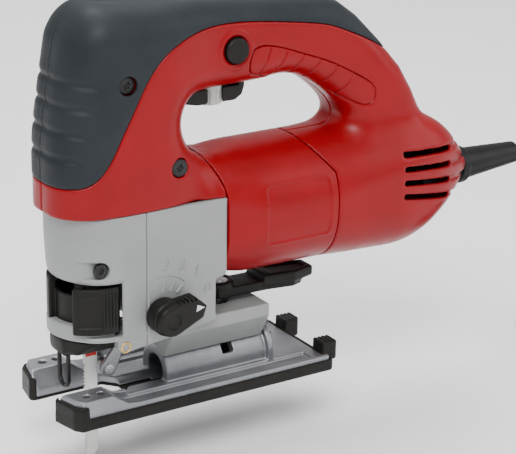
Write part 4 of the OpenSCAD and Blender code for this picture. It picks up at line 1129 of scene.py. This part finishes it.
def side_screws(name, node, places, head_y, tip_y, head, shank, material="black_steel"):
    """Screws across the tool at (x, side, z). The heads face out and have a six-lobe recess."""
    for number, (x, hand, z) in enumerate(places):
        outer = hand * head_y
        low, high = sorted((outer, hand * tip_y))
        start = (x - head - 0.8, low - 0.6, z - head - 0.8)
        end = (x + head + 0.8, high + 0.6, z + head + 0.8)
        g = Grid(start, end, 0.3)
        radius = np.sqrt((g.x - x) ** 2 + (g.z - z) ** 2)
        angle = np.arctan2(g.z - z, g.x - x)
        depth = hand * (outer - g.y)
        field = rounded([radius - head, np.abs(depth - 1.3) - 1.3], 0.6)
        field = np.minimum(field, rounded([radius - shank, span(g.y, low, high)], 0.2))
        recess = np.maximum(radius - head * (0.44 + 0.07 * np.cos(6 * angle)), depth - 1.5)
        field = cut(field, recess, 0.1)
        piece(f"{name}_{number}", g, field, material, None if number else node, BODY_OF[node])


def gear_window_screw():
    """Brass-rimmed hex socket screw in the case's slanted lower lip."""
    g = Grid((-52, -29, 33), (-41, -22, 43), 0.3)
    along, up = g.x - LIP_SCREW[0], g.z - LIP_SCREW[1]
    radius = np.sqrt(along ** 2 + up ** 2)
    rim = rounded([np.abs(radius - 2.5) - 0.6, np.abs(g.y + 26.6) - 0.9], 0.25)
    core = rounded([radius - 2.1, np.abs(g.y + 26.2) - 0.8], 0.2)
    angle = np.arctan2(up, along)
    socket = radius * np.cos((angle % (math.pi / 3)) - math.pi / 6) - 1.05
    core = cut(core, socket, 0.1)
    piece("v_lip_screw_rim", g, rim, "brass", body="housing")
    piece("v_lip_screw_core", g, core, "black_steel", body="housing")


for make in (
    gear_housing, front_cover, nose_liner, nose_guard, wire_guard, case_marks, blade_lever, selector_knob,
    selector_mark, trigger, speed_dial, lock_button, bevel_lever, shoe_base, shoe_cover, roller_fork, blade,
    blade_bands, protector,
):
    make()
side_screws("v_shell_screw", "shell_screws", [(x, -1, z) for x, z in SHELL_SCREWS], 25.2, -15, 4.6, 2)
COVER_SCREWS = [(COVER_SCREW[0], hand, COVER_SCREW[1]) for hand in (-1, 1)]
side_screws("v_cover_screw", "cover_screws", COVER_SCREWS, 25, 18, 3.8, 1.8)
gear_window_screw()


# ---------------- floor and light

def make_floor():
    mesh = bpy.data.meshes.new("floor")
    corners = [(-4, -4), (4, -4), (4, 4), (-4, 4)]
    mesh.from_pydata([(x, y, FLOOR * MM) for x, y in corners], [], [(0, 1, 2, 3)])
    obj = bpy.data.objects.new("floor", mesh)
    s = Shader("floor_paper")
    s.colour(s.mix(s.noise(6, 3), (0.93, 0.93, 0.935), (0.96, 0.96, 0.96)))
    s.roughness(s.ramp(s.noise(40, 3), 0.55, 0.68))
    s.bump(s.noise(900, 2), 0.00001)
    mesh.materials.append(s.material)
    scene.collection.objects.link(obj)


def soft_light(name, place, target, energy, size):
    data = bpy.data.lights.new(name, "AREA")
    data.energy = energy
    data.size = size
    obj = bpy.data.objects.new(name, data)
    scene.collection.objects.link(obj)
    obj.location = place
    obj.rotation_euler = (Vector(target) - Vector(place)).to_track_quat("-Z", "Y").to_euler()


make_floor()
world = bpy.data.worlds.new("studio")
world.use_nodes = True
world.node_tree.nodes["Background"].inputs[0].default_value = (1, 1, 1, 1)
world.node_tree.nodes["Background"].inputs[1].default_value = 0.62
scene.world = world
MIDDLE = (0.05, 0, 0.08)
soft_light("key", (-0.9, -1.3, 1.9), MIDDLE, 56, 1.1)
soft_light("fill", (1.6, -1.1, 1.0), MIDDLE, 16, 1.4)
soft_light("top", (0.1, 0.7, 2.0), MIDDLE, 40, 1.4)
